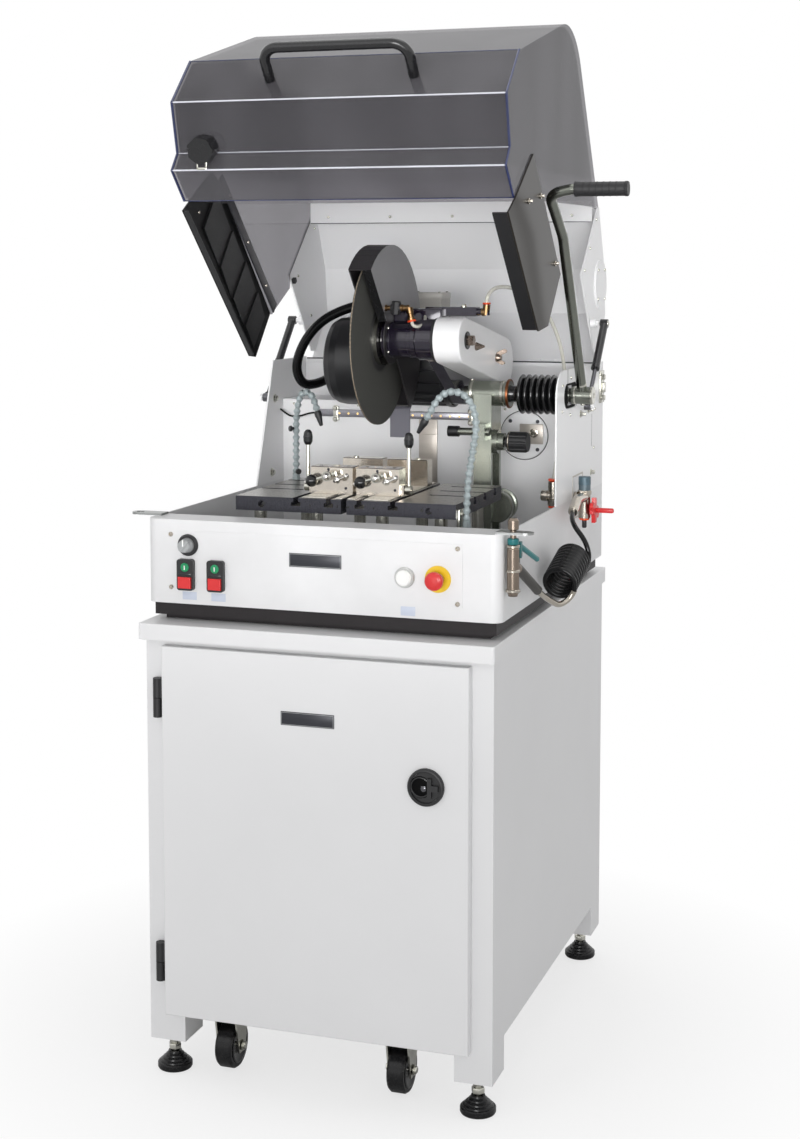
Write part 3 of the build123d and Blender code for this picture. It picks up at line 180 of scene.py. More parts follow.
# Finish: tone (a colour above or a code), its factor, rough, metal, vary, cloud, grain, bump
COATS = {
    "enamel": ("enamel", 1, 0.36, 0, 0.012, 5, 480, 0.1),
    "plinth": ("plinth", 1, 0.5, 0, 0.12, 18, 500, 0.2),
    "black_plastic": ("black", 1, 0.46, 0, 0.12, 18, 1500, 0.2),
    "gloss_black": ("black", 0.8, 0.24, 0, 0.12, 18, 300, 0.04),
    "skirt_black": ("black", 1, 0.4, 0, 0.18, 9, 500, 0.02),
    # skirt_slat: half-strength black as painted shade on the left skirt's slats
    "skirt_slat": ("black", 0.5, 0.5, 0, 0.2, 12, 500, 0.01),
    "skirt_strip": ("#302f34", 1, 0.4, 0, 0.15, 12, 500, 0.01),
    "rubber": ("black", 0.9, 0.62, 0, 0.18, 18, 1200, 0.3),
    "bellows_rubber": ("black", 0.5, 0.2, 0, 0.15, 18, 800, 0.05),
    "motor_black": ("black", 1.1, 0.3, 0, 0.12, 10, 420, 0.08),
    "spring_black": ("black", 0.9, 0.3, 0, 0.15, 18, 700, 0.08),
    "cast_gloss": ("cast", 1, 0.12, 0.2, 0.14, 18, 90, 0.03),
    "zinc": ("zinc", 1, 0.2, 1, 0.12, 40, 260, 0.05),
    "nickel": ("nickel", 1, 0.2, 1, 0.1, 60, 260, 0.04),
    "rod_steel": ("#66666a", 1, 0.16, 1, 0.1, 60, 260, 0.03),
    "plug_grey": ("#4d626d", 1, 0.4, 0.2, 0.12, 80, 700, 0.08),
    "tyre": ("black", 0.5, 0.26, 0, 0.2, 30, 900, 0.1),
    # recess_black: near-black painted shade that makes shallow pockets and slot edges look deep
    "recess_black": ("black", 0.15, 0.7, 0, 0.2, 18, 900, 0.05),
    "brass": ("brass", 1, 0.3, 1, 0.18, 110, 600, 0.06),
    "hardware": ("#8d7f74", 1, 0.26, 0.95, 0.16, 120, 500, 0.05),
    "bronze": ("#7c4d33", 1, 0.36, 1, 0.18, 90, 600, 0.06),
    "steel": ("#dcd4c9", 1, 0.14, 0.9, 0.06, 8, 160, 0.025),
    "chrome": ("#dedcd8", 1, 0.09, 1, 0.05, 60, 200, 0.01),
    "channel": ("#b5aea6", 1, 0.34, 0.5, 0.06, 12, 200, 0.05),
    "lamp_rail": ("#8f8e94", 1, 0.3, 0.9, 0.12, 60, 400, 0.06),
    "silver": ("#a8aaab", 1, 0.36, 0.35, 0.08, 18, 900, 0.12),
    "box_grey": ("#b4b1ab", 1, 0.44, 0, 0.08, 18, 800, 0.15),
    "hose_grey": ("hose", 1, 0.36, 0, 0.08, 60, 700, 0.12),
    "hose_black": ("black", 0.3, 0.12, 0, 0.2, 18, 800, 0.03),
    "white_plastic": ("#ededeb", 1, 0.3, 0, 0.03, 18, 900, 0.08),
    "mark_white": ("#f3f3f1", 1, 0.5, 0, 0.03, 18, 900, 0.05),
    "label": ("#c3cad9", 1, 0.42, 0, 0.04, 18, 900, 0.05),
    "plate_bare": ("#34353b", 1, 0.34, 0.3, 0.1, 40, 500, 0.06),
    "green": ("green", 1, 0.32, 0, 0.08, 18, 900, 0.08),
    "red": ("red", 1, 0.34, 0, 0.08, 18, 900, 0.08),
    "orange": ("orange", 1, 0.34, 0, 0.08, 18, 900, 0.08),
    "teal": ("teal", 1, 0.36, 0, 0.1, 18, 900, 0.08),
    "edge_dark": ("#2c3358", 1, 0.14, 0, 0.1, 20, 200, 0.02),
    # edge_bright: near-white painted highlight for the rods along the hood's folds
    "edge_bright": ("#d6d7e0", 1, 0.16, 0, 0.08, 14, 200, 0.02),
    "rim_brown": ("#8a7a66", 1, 0.8, 0, 0.25, 120, 900, 0.4),
}
GLOSS = {"gloss_black": 0.3, "bellows_rubber": 0.4, "spring_black": 0.2, "cast_gloss": 0.6,
         "white_plastic": 0.2, "green": 0.2, "red": 0.2, "edge_dark": 0.5, "edge_bright": 0.5}
SHINE = {"plinth": 0.3, "tyre": 0.35, "recess_black": 0.1, "hose_black": 0.28, "skirt_mix": 0.18}
STRETCH = {"steel": (6, 1, 1), "channel": (1, 1, 8), "lamp_rail": (1, 8, 8), "plate_bare": (1, 1, 10)}

# Finish in bands along an axis: axis, span in metres, bands (start, tone, factor, rough, metal), and cloud,
# grain and bump where they differ from the usual ones
BANDED = {
    # skirt_mix: the left skirt (X < 0) in half-strength black as painted shade, the right one in its brown
    # gloss
    "skirt_mix": ("X", (-0.4, 0.4), [(-0.4, "black", 0.5, 0.5, 0), (0, "#302d2a", 1, 0.3, 0)], 6, 500, 0.02),
    "switch_mix": ("X", (-0.3, 0.3), [(-0.3, "black", 1, 0.4, 0), (0.1, "#c9c9c8", 1, 0.3, 0.7),
                                      (0.18, "yellow", 1, 0.4, 0)]),
    "tub_mix": ("Z", (0.9, 1.0), [(0.9, "enamel", 1, 0.36, 0), (0.9622, "#a5a7a6", 1, 0.34, 0.9)], 5, 480),
    "crank_mix_left": ("X", (-0.1, 0), [(-0.1, "black", 0.6, 0.12, 0), (-0.0645, "zinc", 1, 0.12, 1)]),
    "crank_mix_right": ("X", (0, 0.1), [(0, "black", 0.6, 0.12, 0), (0.0255, "zinc", 1, 0.12, 1)]),
    "cam_mix": ("Z", (0.99, 1.11), [(0.99, "zinc", 1, 0.2, 1), (1.0765, "black", 0.7, 0.2, 0)]),
    "stand_mix": ("X", (0.08, 0.22), [(0.08, "black", 0.8, 0.35, 0), (0.1122, "#969a90", 1, 0.26, 0.9)]),
    "lever_mix": ("X", (0, 0.5), [(0, "#858880", 1, 0.24, 1), (0.3775, "black", 1, 0.5, 0)]),
    "motor_mix": ("Z", (1.1, 1.4), [(1.1, "black", 1.1, 0.3, 0), (1.2892, "#b4b1ab", 1, 0.44, 0)], 10, 420),
    "gun_mix": ("Y", (-0.4, -0.1), [(-0.4, "#94877b", 1, 0.2, 1), (-0.336, "#35332f", 1, 0.35, 0.3),
                                    (-0.243, "nickel", 1, 0.18, 1)]),
    "valve_mix": ("Z", (0.9, 1.0), [(0.9, "nickel", 1, 0.2, 1), (0.9735, "#5b6b73", 1, 0.4, 0.2)]),
}

NODE_FINISH = {
    "enamel": ("cabinet_frame", "cabinet_top", "door", "chamber_walls", "belt_cover", "hood_frame"),
    "black_plastic": ("door_hinge_posts", "door_fittings", "latch_paddle", "stop_knob"),
    "skirt_mix": ("side_skirts",),
    "gloss_black": ("hood_fittings",),
    "plinth": ("machine_base",),
    "zinc": ("caster_brackets", "table_posts", "spindle", "motor_pulley"),
    "rod_steel": ("gas_rod_left", "gas_rod_right"),
    "gun_mix": ("spray_gun",),
    "tub_mix": ("tub",),
    "stand_mix": ("pivot_stand",),
    "lever_mix": ("feed_lever",),
    "cam_mix": ("cam_lever_left", "cam_lever_right"),
    "crank_mix_left": ("crank_left",),
    "crank_mix_right": ("crank_right",),
    "valve_mix": ("water_valve",),
    "switch_mix": ("switch_bezels",),
    "table_steel": ("table_halves",),
    "steel": ("rear_jaw", "jaw_left", "jaw_right"),
    "cast_gloss": ("arm_casting",),
    "guard_satin": ("wheel_guard",),
    "motor_mix": ("motor",),
    "abrasive": ("cutting_wheel",),
    "smoke": ("hood_shield",),
    "tyre": ("caster_wheel_left_front", "caster_wheel_left_rear", "caster_wheel_right_front",
             "caster_wheel_right_rear"),
    "rubber": ("drive_belt", "levelling_feet", "bellows", "coolant_hoses", "spray_hose", "hose_coil",
               "flexible_lines"),
    "spring_black": ("gas_cylinder_left", "gas_cylinder_right"),
    "green": ("green_button_left", "green_button_right"),
    "red": ("red_button_left", "red_button_right", "emergency_stop", "valve_handle"),
    "white_plastic": ("white_button",),
    "silver": ("rotary_knob",),
    "teal": ("gun_trigger",),
}


def mm(*p):
    return Vector(p) / 1000


def shade(tone, k):
    return (*[min(1.0, c * k) for c in tone[:3]], 1.0)


def begin(name):
    mat = bpy.data.materials.new(name)
    mat.use_nodes = True
    FINISH[name] = mat
    return mat.node_tree, mat.node_tree.nodes["Principled BSDF"]


def put(node, values):
    for key, value in values.items():
        node.inputs[key].default_value = value


def add(tree, kind, values=None, **settings):
    made = tree.nodes.new(kind)
    for key, value in settings.items():
        setattr(made, key, value)
    put(made, values or {})
    return made


def placed(tree, stretch=(1, 1, 1)):
    coords = add(tree, "ShaderNodeTexCoord")
    mapping = add(tree, "ShaderNodeMapping", {"Scale": stretch})
    tree.links.new(coords.outputs["Object"], mapping.inputs["Vector"])
    return mapping.outputs["Vector"]


def axes(tree, source="Object"):
    coords = add(tree, "ShaderNodeTexCoord")
    parts = add(tree, "ShaderNodeSeparateXYZ")
    tree.links.new(coords.outputs[source], parts.inputs["Vector"])
    return parts.outputs


def noise(tree, where, scale, detail=4.0):
    made = add(tree, "ShaderNodeTexNoise", {"Scale": scale, "Detail": detail, "Roughness": 0.55})
    tree.links.new(where, made.inputs["Vector"])
    return made.outputs["Fac"]


def ramp(tree, fac, low, high, at=(0.3, 0.7)):
    made = add(tree, "ShaderNodeValToRGB")
    for spot, place, tone in zip(made.color_ramp.elements, at, (low, high)):
        spot.position = place
        spot.color = tone
    tree.links.new(fac, made.inputs["Fac"])
    return made.outputs["Color"]


def mottled(tree, fac, tone, low, high):
    return ramp(tree, fac, shade(tone, low), shade(tone, high))


def spread(tree, fac, low, high, between=(0.25, 0.75)):
    made = add(tree, "ShaderNodeMapRange",
               {"From Min": between[0], "From Max": between[1], "To Min": low, "To Max": high})
    tree.links.new(fac, made.inputs["Value"])
    return made.outputs["Result"]


def mixed(tree, share, below, over):
    mix = add(tree, "ShaderNodeMix", data_type="RGBA")
    for socket, source in ((MIX_SHARE, share), (MIX_BELOW, below), (MIX_OVER, over)):
        tree.links.new(source, mix.inputs[socket])
    return mix.outputs[MIX_RESULT]


def surface(tree, share, below, over):
    mix = add(tree, "ShaderNodeMixShader")
    for socket, source in enumerate((share, below, over)):
        tree.links.new(source, mix.inputs[socket])
    tree.links.new(mix.outputs["Shader"], tree.nodes["Material Output"].inputs["Surface"])


def combined(tree, *sources, operation="MULTIPLY"):
    made = add(tree, "ShaderNodeMath", operation=operation)
    for source, socket in zip(sources, made.inputs):
        tree.links.new(source, socket)
    return made.outputs["Value"]


def bumped(tree, bsdf, height, strength, distance=FINE_BUMP):
    made = add(tree, "ShaderNodeBump", {"Strength": strength, "Distance": distance})
    tree.links.new(height, made.inputs["Height"])
    tree.links.new(made.outputs["Normal"], bsdf.inputs["Normal"])


def finely(tree, bsdf, where, grain, rough, bump):
    """Fine grain in the roughness, between two values, and in the bump"""
    fine = noise(tree, where, grain, 3.0)
    tree.links.new(spread(tree, fine, *rough), bsdf.inputs["Roughness"])
    bumped(tree, bsdf, fine, bump)


def coat(name, tone, rough, metal, vary, cloud, grain, bump):
    tree, bsdf = begin(name)
    where = placed(tree, STRETCH.get(name, (1, 1, 1)))
    patches = mottled(tree, noise(tree, where, cloud), tone, 1 - vary, 1 + vary)
    tree.links.new(patches, bsdf.inputs["Base Color"])
    finely(tree, bsdf, where, grain, (max(0.03, rough - 0.06), rough + 0.06), bump)
    put(bsdf, {"Metallic": metal, "Specular IOR Level": SHINE.get(name, 0.5),
               "Coat Weight": GLOSS.get(name, 0.0), "Coat Roughness": 0.1})


def banded(name, axis, span, bands, cloud=30, grain=600, bump=0.1):
    """Constant bands of tone, roughness and metal, each (start, tone, rough, metal)"""
    tree, bsdf = begin(name)
    place = spread(tree, axes(tree)[axis], 0.0, 1.0, span)
    ramps = []
    for k in range(3):
        made = add(tree, "ShaderNodeValToRGB")
        spots = made.color_ramp.elements
        made.color_ramp.interpolation = "CONSTANT"
        spots.remove(spots[1])
        for i, (start, tone, rough, metal) in enumerate(bands):
            spot = spots.new((start - span[0]) / (span[1] - span[0])) if i else spots[0]
            spot.color = (tone, (rough, rough, rough, 1.0), (metal, metal, metal, 1.0))[k]
        tree.links.new(place, made.inputs["Fac"])
        ramps.append(made.outputs["Color"])
    where = placed(tree)
    patches = ramp(tree, noise(tree, where, cloud), (0.86, 0.86, 0.86, 1.0), (1.0, 1.0, 1.0, 1.0))
    mix = add(tree, "ShaderNodeMix", {MIX_SHARE: 1.0}, data_type="RGBA", blend_type="MULTIPLY")
    tree.links.new(ramps[0], mix.inputs[MIX_BELOW])
    tree.links.new(patches, mix.inputs[MIX_OVER])
    for socket, source in zip(("Base Color", "Roughness", "Metallic"), (mix.outputs[MIX_RESULT], *ramps[1:])):
        tree.links.new(source, bsdf.inputs[socket])
    bumped(tree, bsdf, noise(tree, where, grain, 3.0), bump)
    put(bsdf, {"Specular IOR Level": SHINE.get(name, 0.5)})


def table_steel(name, side, top, strip):
    tree, bsdf = begin(name)
    where = placed(tree, (12, 1, 1))
    scratch = noise(tree, where, 40.0)
    up = spread(tree, axes(tree, "Normal")["Z"], 0.0, 1.0, (0.6, 0.7))
    raised = spread(tree, axes(tree)["Z"], 0.0, 1.0, (0.9915, 0.992))
    tone = mixed(tree, up, mottled(tree, scratch, side, 0.85, 1.15), mottled(tree, scratch, top, 0.8, 1.15))
    tone = mixed(tree, raised, tone, mottled(tree, scratch, strip, 0.93, 1.04))
    tree.links.new(tone, bsdf.inputs["Base Color"])
    finely(tree, bsdf, where, 300.0, (0.22, 0.36), 0.05)
    put(bsdf, {"Metallic": 0.45})


def smoked_sheet(name, tone):
    tree, bsdf = begin(name)
    where = placed(tree)
    streaks = noise(tree, placed(tree, (5, 5, 0.8)), 1.4, 2.0)
    tree.links.new(mottled(tree, streaks, tone, 0.72, 1.3), bsdf.inputs["Base Color"])
    tree.links.new(spread(tree, noise(tree, where, 30.0), 0.04, 0.08), bsdf.inputs["Roughness"])
    put(bsdf, {"Specular IOR Level": 0.6})
    cloud = ramp(tree, noise(tree, where, 1.6, 2.0), (0.495, 0.487, 0.503, 1.0), (0.54, 0.533, 0.548, 1.0))
    lift = add(tree, "ShaderNodeVectorMath", operation="SCALE")
    tree.links.new(cloud, lift.inputs[0])
    tree.links.new(spread(tree, axes(tree)["Z"], 1.24, 1.0, (1.546, 1.556)), lift.inputs["Scale"])
    through = add(tree, "ShaderNodeBsdfTransparent")
    tree.links.new(lift.outputs["Vector"], through.inputs["Color"])
    edge = add(tree, "ShaderNodeLayerWeight", {"Blend": 0.25})
    surface(tree, spread(tree, edge.outputs["Facing"], 0.2, 0.6, (0.0, 1.0)), through.outputs["BSDF"],
            bsdf.outputs["BSDF"])


def guard_paint_lit_and_shaded(name, band, side, flap):
    tree, bsdf = begin(name)
    where = placed(tree)
    parts = axes(tree)
    cloud = noise(tree, where, 9.0)
    # The side tone is painted light on the guard's right plate, above z 1.304 only. Below that line the plate
    # keeps the dark band tone as painted shade. The flap below z 1.128 has its own colour
    right = spread(tree, parts["X"], 0.0, 1.0, (0.0236, 0.0239))
    high = spread(tree, parts["Z"], 0.0, 1.0, (1.304, 1.312))
    low = spread(tree, parts["Z"], 1.0, 0.0, (1.128, 1.13))
    tone = mixed(tree, combined(tree, right, high), mottled(tree, cloud, band, 0.88, 1.12),
                 mottled(tree, cloud, side, 0.93, 1.07))
    tone = mixed(tree, low, tone, mottled(tree, cloud, flap, 0.93, 1.07))
    tree.links.new(tone, bsdf.inputs["Base Color"])
    finely(tree, bsdf, where, 700.0, (0.38, 0.5), 0.12)


def bonded_abrasive(name, tone):
    tree, bsdf = begin(name)
    grit = add(tree, "ShaderNodeTexVoronoi", {"Scale": 900.0})
    tree.links.new(placed(tree), grit.inputs["Vector"])
    specks = ramp(tree, grit.outputs["Distance"], shade(tone, 0.6), shade(tone, 1.35), (0.05, 0.6))
    tree.links.new(specks, bsdf.inputs["Base Color"])
    put(bsdf, {"Roughness": 0.86})
    bumped(tree, bsdf, grit.outputs["Distance"], 0.5, 0.0006)


def tinted(name, tone, cloud, low, values):
    tree, bsdf = begin(name)
    patches = mottled(tree, noise(tree, placed(tree), cloud), tone, low, 1.05)
    tree.links.new(patches, bsdf.inputs["Base Color"])
    put(bsdf, values)


def shown(name, mesh, finish, on, angle=35.0, replaced=()):
    mesh.shade_smooth()
    mesh.set_sharp_from_angle(angle=math.radians(angle))
    mesh.materials.clear()
    mesh.materials.append(FINISH[finish])
    made = bpy.data.objects.new(name, mesh)
    bpy.context.scene.collection.objects.link(made)
    if on:
        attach(made, on)
    if replaced:
        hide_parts(*replaced)
    return made


def piece(name, finish, *forms, on="cabinet", angle=35.0, replaced=()):
    """One mesh piece; each form is a function below and what it takes after the bmesh"""
    bm = bmesh.new()
    for form, *values in forms:
        form(bm, *values)
    bmesh.ops.recalc_face_normals(bm, faces=bm.faces)
    mesh = bpy.data.meshes.new(name)
    bm.to_mesh(mesh)
    bm.free()
    return shown(name, mesh, finish, on, angle, replaced)


def lathe(bm, profile, at, direction, steps):
    turn = Vector(direction).to_track_quat("Z", "Y").to_matrix().to_4x4()
    where = Matrix.Translation(mm(*at)) @ turn
    verts = [bm.verts.new(where @ mm(r, 0, z)) for r, z in profile]
    edges = [bm.edges.new(pair) for pair in zip(verts, verts[1:])]
    bmesh.ops.spin(bm, geom=verts + edges, cent=where.translation, axis=where.to_3x3() @ Vector(UP),
                   angle=math.tau, steps=steps, use_merge=True)
    bmesh.ops.remove_doubles(bm, verts=bm.verts, dist=1e-6)


def rounded(bm, edges, size, segments):
    bmesh.ops.bevel(bm, geom=list(edges), offset=size / 1000, offset_type="OFFSET", affect="EDGES",
                    segments=segments, profile=0.5, material=-1)


def slab(bm, low, high, bevel=0.0, segments=2, turn=None):
    low, high = mm(*low), mm(*high)
    size = Matrix.Diagonal((*(high - low), 1.0))
    where = Matrix.Translation((low + high) / 2) @ (turn or Matrix.Identity(4)) @ size
    verts = bmesh.ops.create_cube(bm, size=1.0, matrix=where)["verts"]
    if bevel:
        rounded(bm, {e for v in verts for e in v.link_edges}, bevel, segments)


def prism(bm, outline, axis, low, high, bevel=0.0):
    order = {"x": (2, 0, 1), "y": (0, 2, 1)}[axis]
    base = bm.faces.new([bm.verts.new(mm(*[(a, b, low)[i] for i in order])) for a, b in outline])
    grown = bmesh.ops.extrude_face_region(bm, geom=[base], use_keep_orig=True)["geom"]
    tops = [g for g in grown if isinstance(g, bmesh.types.BMVert)]
    bmesh.ops.translate(bm, vec=mm(*[(0, 0, high - low)[i] for i in order]), verts=tops)
    if bevel:
        rounded(bm, {e for v in tops for e in v.link_edges if e.other_vert(v) in tops}, bevel, 2)


def rod(bm, a, b, r):
    span = Vector(b) - Vector(a)
    lathe(bm, [(0, 0), (r, 0), (r, span.length), (0, span.length)], a, span, 10)


def beam(bm, x0, x1, a, b, thick):
    a, b = Vector(a), Vector(b)
    way = (b - a).normalized()
    side = Vector((-way.y, way.x)) * thick / 2
    prism(bm, [tuple(c) for c in (a + side, b + side, b - side, a - side)], "x", x0, x1)


def slat(bm, corners):
    """Skirt slat whose lower end is sunk into the skirt"""
    known = set(bm.verts)
    prism(bm, corners, "x", -297.2, -292.6)
    ends = [Vector(c) for c in corners[2:]]
    sunk = [v for v in set(bm.verts) - known
            if v.co.x > -0.295 and min((v.co.yz * 1000 - c).length for c in ends) < 1]
    bmesh.ops.translate(bm, vec=mm(-3.4, 0, 0), verts=sunk)


def screws(bm, r, direction, places):
    h = r * 0.7
    head = [(0, h * 0.4), (r * 0.45, h * 0.4), (r * 0.5, h), (r * 0.8, h), (r, h * 0.6), (r, -0.3)]
    for at in places:
        lathe(bm, head, at, direction, 14)


def bolts(bm, r, h, direction, places):
    for at in places:
        lathe(bm, [(r * 1.4, -0.2), (r * 1.4, 1.2), (r * 0.9, 1.4)], at, direction, 24)
        lathe(bm, [(0, h), (r * 0.78, h), (r, h * 0.82), (r, 1.0)], at, direction, 6)


def push_ring(bore, r, deep, crest=1):
    return [(bore, 0), (r, 0), (r + 0.6, crest), (r, deep), (bore, deep)]


def collar(bore, r, deep, edge=0.8):
    return [(bore, 0), (r, edge), (r, deep - 1), (bore, deep)]


def diagonals(r):
    return [(r * math.cos(a), r * math.sin(a)) for a in (math.pi / 4 + k * math.pi / 2 for k in range(4))]


def bare_plate(name, low, high, on="cabinet"):
    """Plate without lettering and the thin line round its face"""
    piece(name, "plate_bare", (slab, low, high, 0.4), on=on)
    inset, line, y = 1.2, 0.7, low[1]
    x0, x1, z0, z1 = low[0] + inset, high[0] - inset, low[2] + inset, high[2] - inset
    bars = ((x0, x1, z0, z0 + line), (x0, x1, z1 - line, z1),
            (x0, x0 + line, z0 + line, z1 - line), (x1 - line, x1, z0 + line, z1 - line))
    piece(name + "_rim", "silver", *[(slab, (a, y - 0.25, c), (b, y + 0.1, d)) for a, b, c, d in bars], on=on)


def nurbs(name, points):
    curve = bpy.data.curves.new(name, "CURVE")
    curve.dimensions = "3D"
    line = curve.splines.new("NURBS")
    line.points.add(len(points) - 1)
    for spot, p in zip(line.points, points):
        spot.co = (*mm(*p), 1.0)
    line.order_u = 3
    line.use_endpoint_u = True
    line.resolution_u = 16
    return curve


def as_mesh(curve):
    holder = bpy.data.objects.new(curve.name, curve)
    mesh = bpy.data.meshes.new_from_object(holder)
    bpy.data.objects.remove(holder)
    bpy.data.curves.remove(curve)
    return mesh


def tube(name, points, radius, finish, on="cabinet", sides=7):
    curve = nurbs(name, points)
    curve.bevel_depth = radius
    curve.bevel_resolution = sides
    curve.use_fill_caps = True
    return shown(name, as_mesh(curve), finish, on)


def marched(name, points, step):
    """Even places along a route with the way at each, and the pitch between them"""
    mesh = as_mesh(nurbs(name, points))
    line = [v.co * 1000 for v in mesh.vertices]
    bpy.data.meshes.remove(mesh)
    marks = [0.0]
    for a, b in zip(line, line[1:]):
        marks.append(marks[-1] + (b - a).length)
    count = max(1, round(marks[-1] / step))
    found = []
    k = 0
    for i in range(count + 1):
        s = marks[-1] * i / count
        while k < len(line) - 2 and marks[k + 1] < s:
            k += 1
        share = (s - marks[k]) / (marks[k + 1] - marks[k])
        found.append((line[k].lerp(line[k + 1], share), (line[k + 1] - line[k]).normalized()))
    return found, marks[-1] / count


class SAW_OT_finishes(bpy.types.Operator):
    """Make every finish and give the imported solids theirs"""
    bl_idname = "saw.finishes"
    bl_label = "Finishes"

    def execute(self, context):
        group = context.scene.saw_finishes

        def tone(key, k=1.0):
            return shade(linear(key[1:]) if key[0] == "#" else getattr(group, key), k)

        for name, (key, k, *values) in COATS.items():
            coat(name, tone(key, k), *values)
        for name, (axis, span, bands, *values) in BANDED.items():
            bands = [(start, tone(key, k), *rest) for start, key, k, *rest in bands]
            banded(name, axis, span, bands, *values)
        # 7d7c7e is the painted light of the guard's right plate; #5a5962 is the flap's own colour
        guard_paint_lit_and_shaded("guard_satin", tone("guard"), tone("#7d7c7e"), tone("#5a5962"))
        table_steel("table_steel", tone("table"), tone("#8f8c86"), tone("strip"))
        smoked_sheet("smoke", tone("tint"))
        bonded_abrasive("abrasive", tone("abrasive"))
        tinted("clear_tube", tone("#dedcd0"), 80.0, 0.92, {"Roughness": 0.22, "Alpha": 0.62})
        lens = tone("#ffd48c")
        tinted("lamp_lens", lens, 300.0, 0.9, {"Emission Color": lens, "Emission Strength": 0.7})
        for name, nodes in NODE_FINISH.items():
            for node in nodes:
                slots = NODES[node].data.materials
                slots.clear()
                slots.append(FINISH[name])
        return {"FINISHED"}


class SAW_OT_cables(bpy.types.Operator):
    """Motor cable and clear water tube across the arm joint, with glands and tee"""
    bl_idname = "saw.cables"
    bl_label = "Cables"

    def execute(self, context):
        sizes = context.scene.saw_sizes
        cable = tube("motor_cable", CABLE, sizes.cable, "hose_black", None)
        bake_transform(cable)
        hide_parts("flexible_lines")
        line = tube("water_tube", WATER, sizes.tube, "clear_tube", None)
        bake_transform(line)
        piece("cable_gland_box", "black_plastic", (lathe, GLAND, (-28.3, 195, 1308), LEFT, 24), on="arm")
        piece("cable_gland_wall", "black_plastic", (lathe, GLAND, (-213, 354.6, 1172), FRONT, 24))
        stem = [(0, -19), (9, -19), (10.4, -17), (10.4, -7), (8.6, -6), (8.6, 9), (9.6, 10), (9.6, 25),
                (7, 27), (0, 27)]
        outlet = [(0, 5), (8, 5), (8, 11), (10, 12), (10, 23.8), (0, 23.8)]
        branch = [(0, 5), (8, 5), (8, 9), (10, 10), (10, 20), (9, 22), (0, 22)]
        piece("water_tee", "nickel", (lathe, stem, (*TEE, 971), UP, 28),
              (lathe, outlet, (*TEE, 970), RIGHT, 24), (lathe, branch, (*TEE, 970), LEFT, 24))
        piece("tee_rings", "orange", (lathe, push_ring(4.2, 9, 3.6, 1.2), (*TEE, 998), UP, 24),
              (lathe, push_ring(0, 9, 3.6, 1.2), (*TEE, 952), DOWN, 24))
        return {"FINISHED"}


class SAW_OT_coolant(bpy.types.Operator):
    """Two jointed coolant hoses, bead by bead, with cone nozzles, shut-off knobs and the edge bracket"""
    bl_idname = "saw.coolant"
    bl_label = "Coolant hoses"

    def execute(self, context):
        r = context.scene.saw_sizes.bead * 1000
        hoses = (("left", COOLANT_LEFT, ("coolant_hoses",)), ("right", COOLANT_RIGHT, ()))
        for side, route, replaced in hoses:
            spots, pitch = marched("coolant_" + side, route, BEAD_STEP)
            bead = [(a * r, b * pitch) for a, b in BEAD]
            beads = [(lathe, bead, at, way, 20) for at, way in spots[:-3]]
            piece("coolant_hose_" + side, "hose_grey", *beads, angle=40, replaced=replaced)
            root, way = spots[-3][0], spots[-1][0] - spots[-3][0]
            nose = [(a * r, b) for a, b in NOSE]
            piece("coolant_nozzle_" + side, "black_plastic",
                  (lathe, nose, root - way.normalized() * NOSE[0][1], way, 24))
        nut = [(0, 0), (8.2, 0), (8.2, 6), (7.2, 7), (7.2, 14), (4.4, 15)]
        piece("coolant_nuts", "hose_grey", *[(lathe, nut, route[0], UP, 6) for _, route, _ in hoses])
        knob = [(0, 13), (4.6, 13), (5.4, 12), (5.4, 8.4), (3, 7.6), (3, 4)]
        piece("coolant_knobs", "black_plastic", (lathe, knob, (-190, 2, 1006), (0.7, -0.7, 0), 20),
              (lathe, knob, (-190, 0, 1086), (-0.7, -0.7, 0), 20))
        socket = [(0, 0), (8, 0), (8, 10), (6, 12), (6, 20), (0, 20)]
        piece("coolant_bracket", "zinc", (slab, (199.6, -250.4, 941.6), (224.4, -225.6, 948.2), 0.8),
              (slab, (199.7, -250.4, 942), (204.4, -225.6, 982.4), 0.8),
              (bolts, 3.6, 4, RIGHT, [(204.4, -244, 974), (204.4, -232, 974)]),
              (lathe, socket, (213, -238, 941.6), DOWN, 24))
        return {"FINISHED"}


def coil_at(t):
    axis = COIL_FRONT - COIL_BACK
    side = Vector(RIGHT)
    up = side.cross(axis).normalized()
    up = -up if up.z < 0 else up
    turn = -math.tau * COIL_TURNS * t
    return COIL_BACK + axis * t + side * (COIL_R * math.cos(turn)) + up * (COIL_R * math.sin(turn))


class SAW_OT_spray_line(bpy.types.Operator):
    """Free spray hose from the valve through its coil to the gun"""
    bl_idname = "saw.spray_line"
    bl_label = "Spray hose"

    def execute(self, context):
        start = coil_at(0.0)
        way = (coil_at(0.0001) - start).normalized()
        route = [HOSE_EXIT, HOSE_EXIT + HOSE_WAY.normalized() * 20, Vector((350, -36, 932)),
                 Vector((370, -45, 912)), start - way * 14, start]
        route += [coil_at(i / COIL_STEPS) for i in range(1, COIL_STEPS + 1)]
        curve = nurbs("spray_hose_line", route)
        curve.bevel_depth = context.scene.saw_sizes.hose
        curve.bevel_resolution = 5
        curve.splines[0].resolution_u = 5
        curve.use_fill_caps = True
        curve.materials.append(FINISH["hose_black"])
        hose = bpy.data.objects.new("spray_hose_line", curve)
        context.scene.collection.objects.link(hose)
        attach(hose, "cabinet")
        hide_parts("spray_hose", "hose_coil")
        return {"FINISHED"}


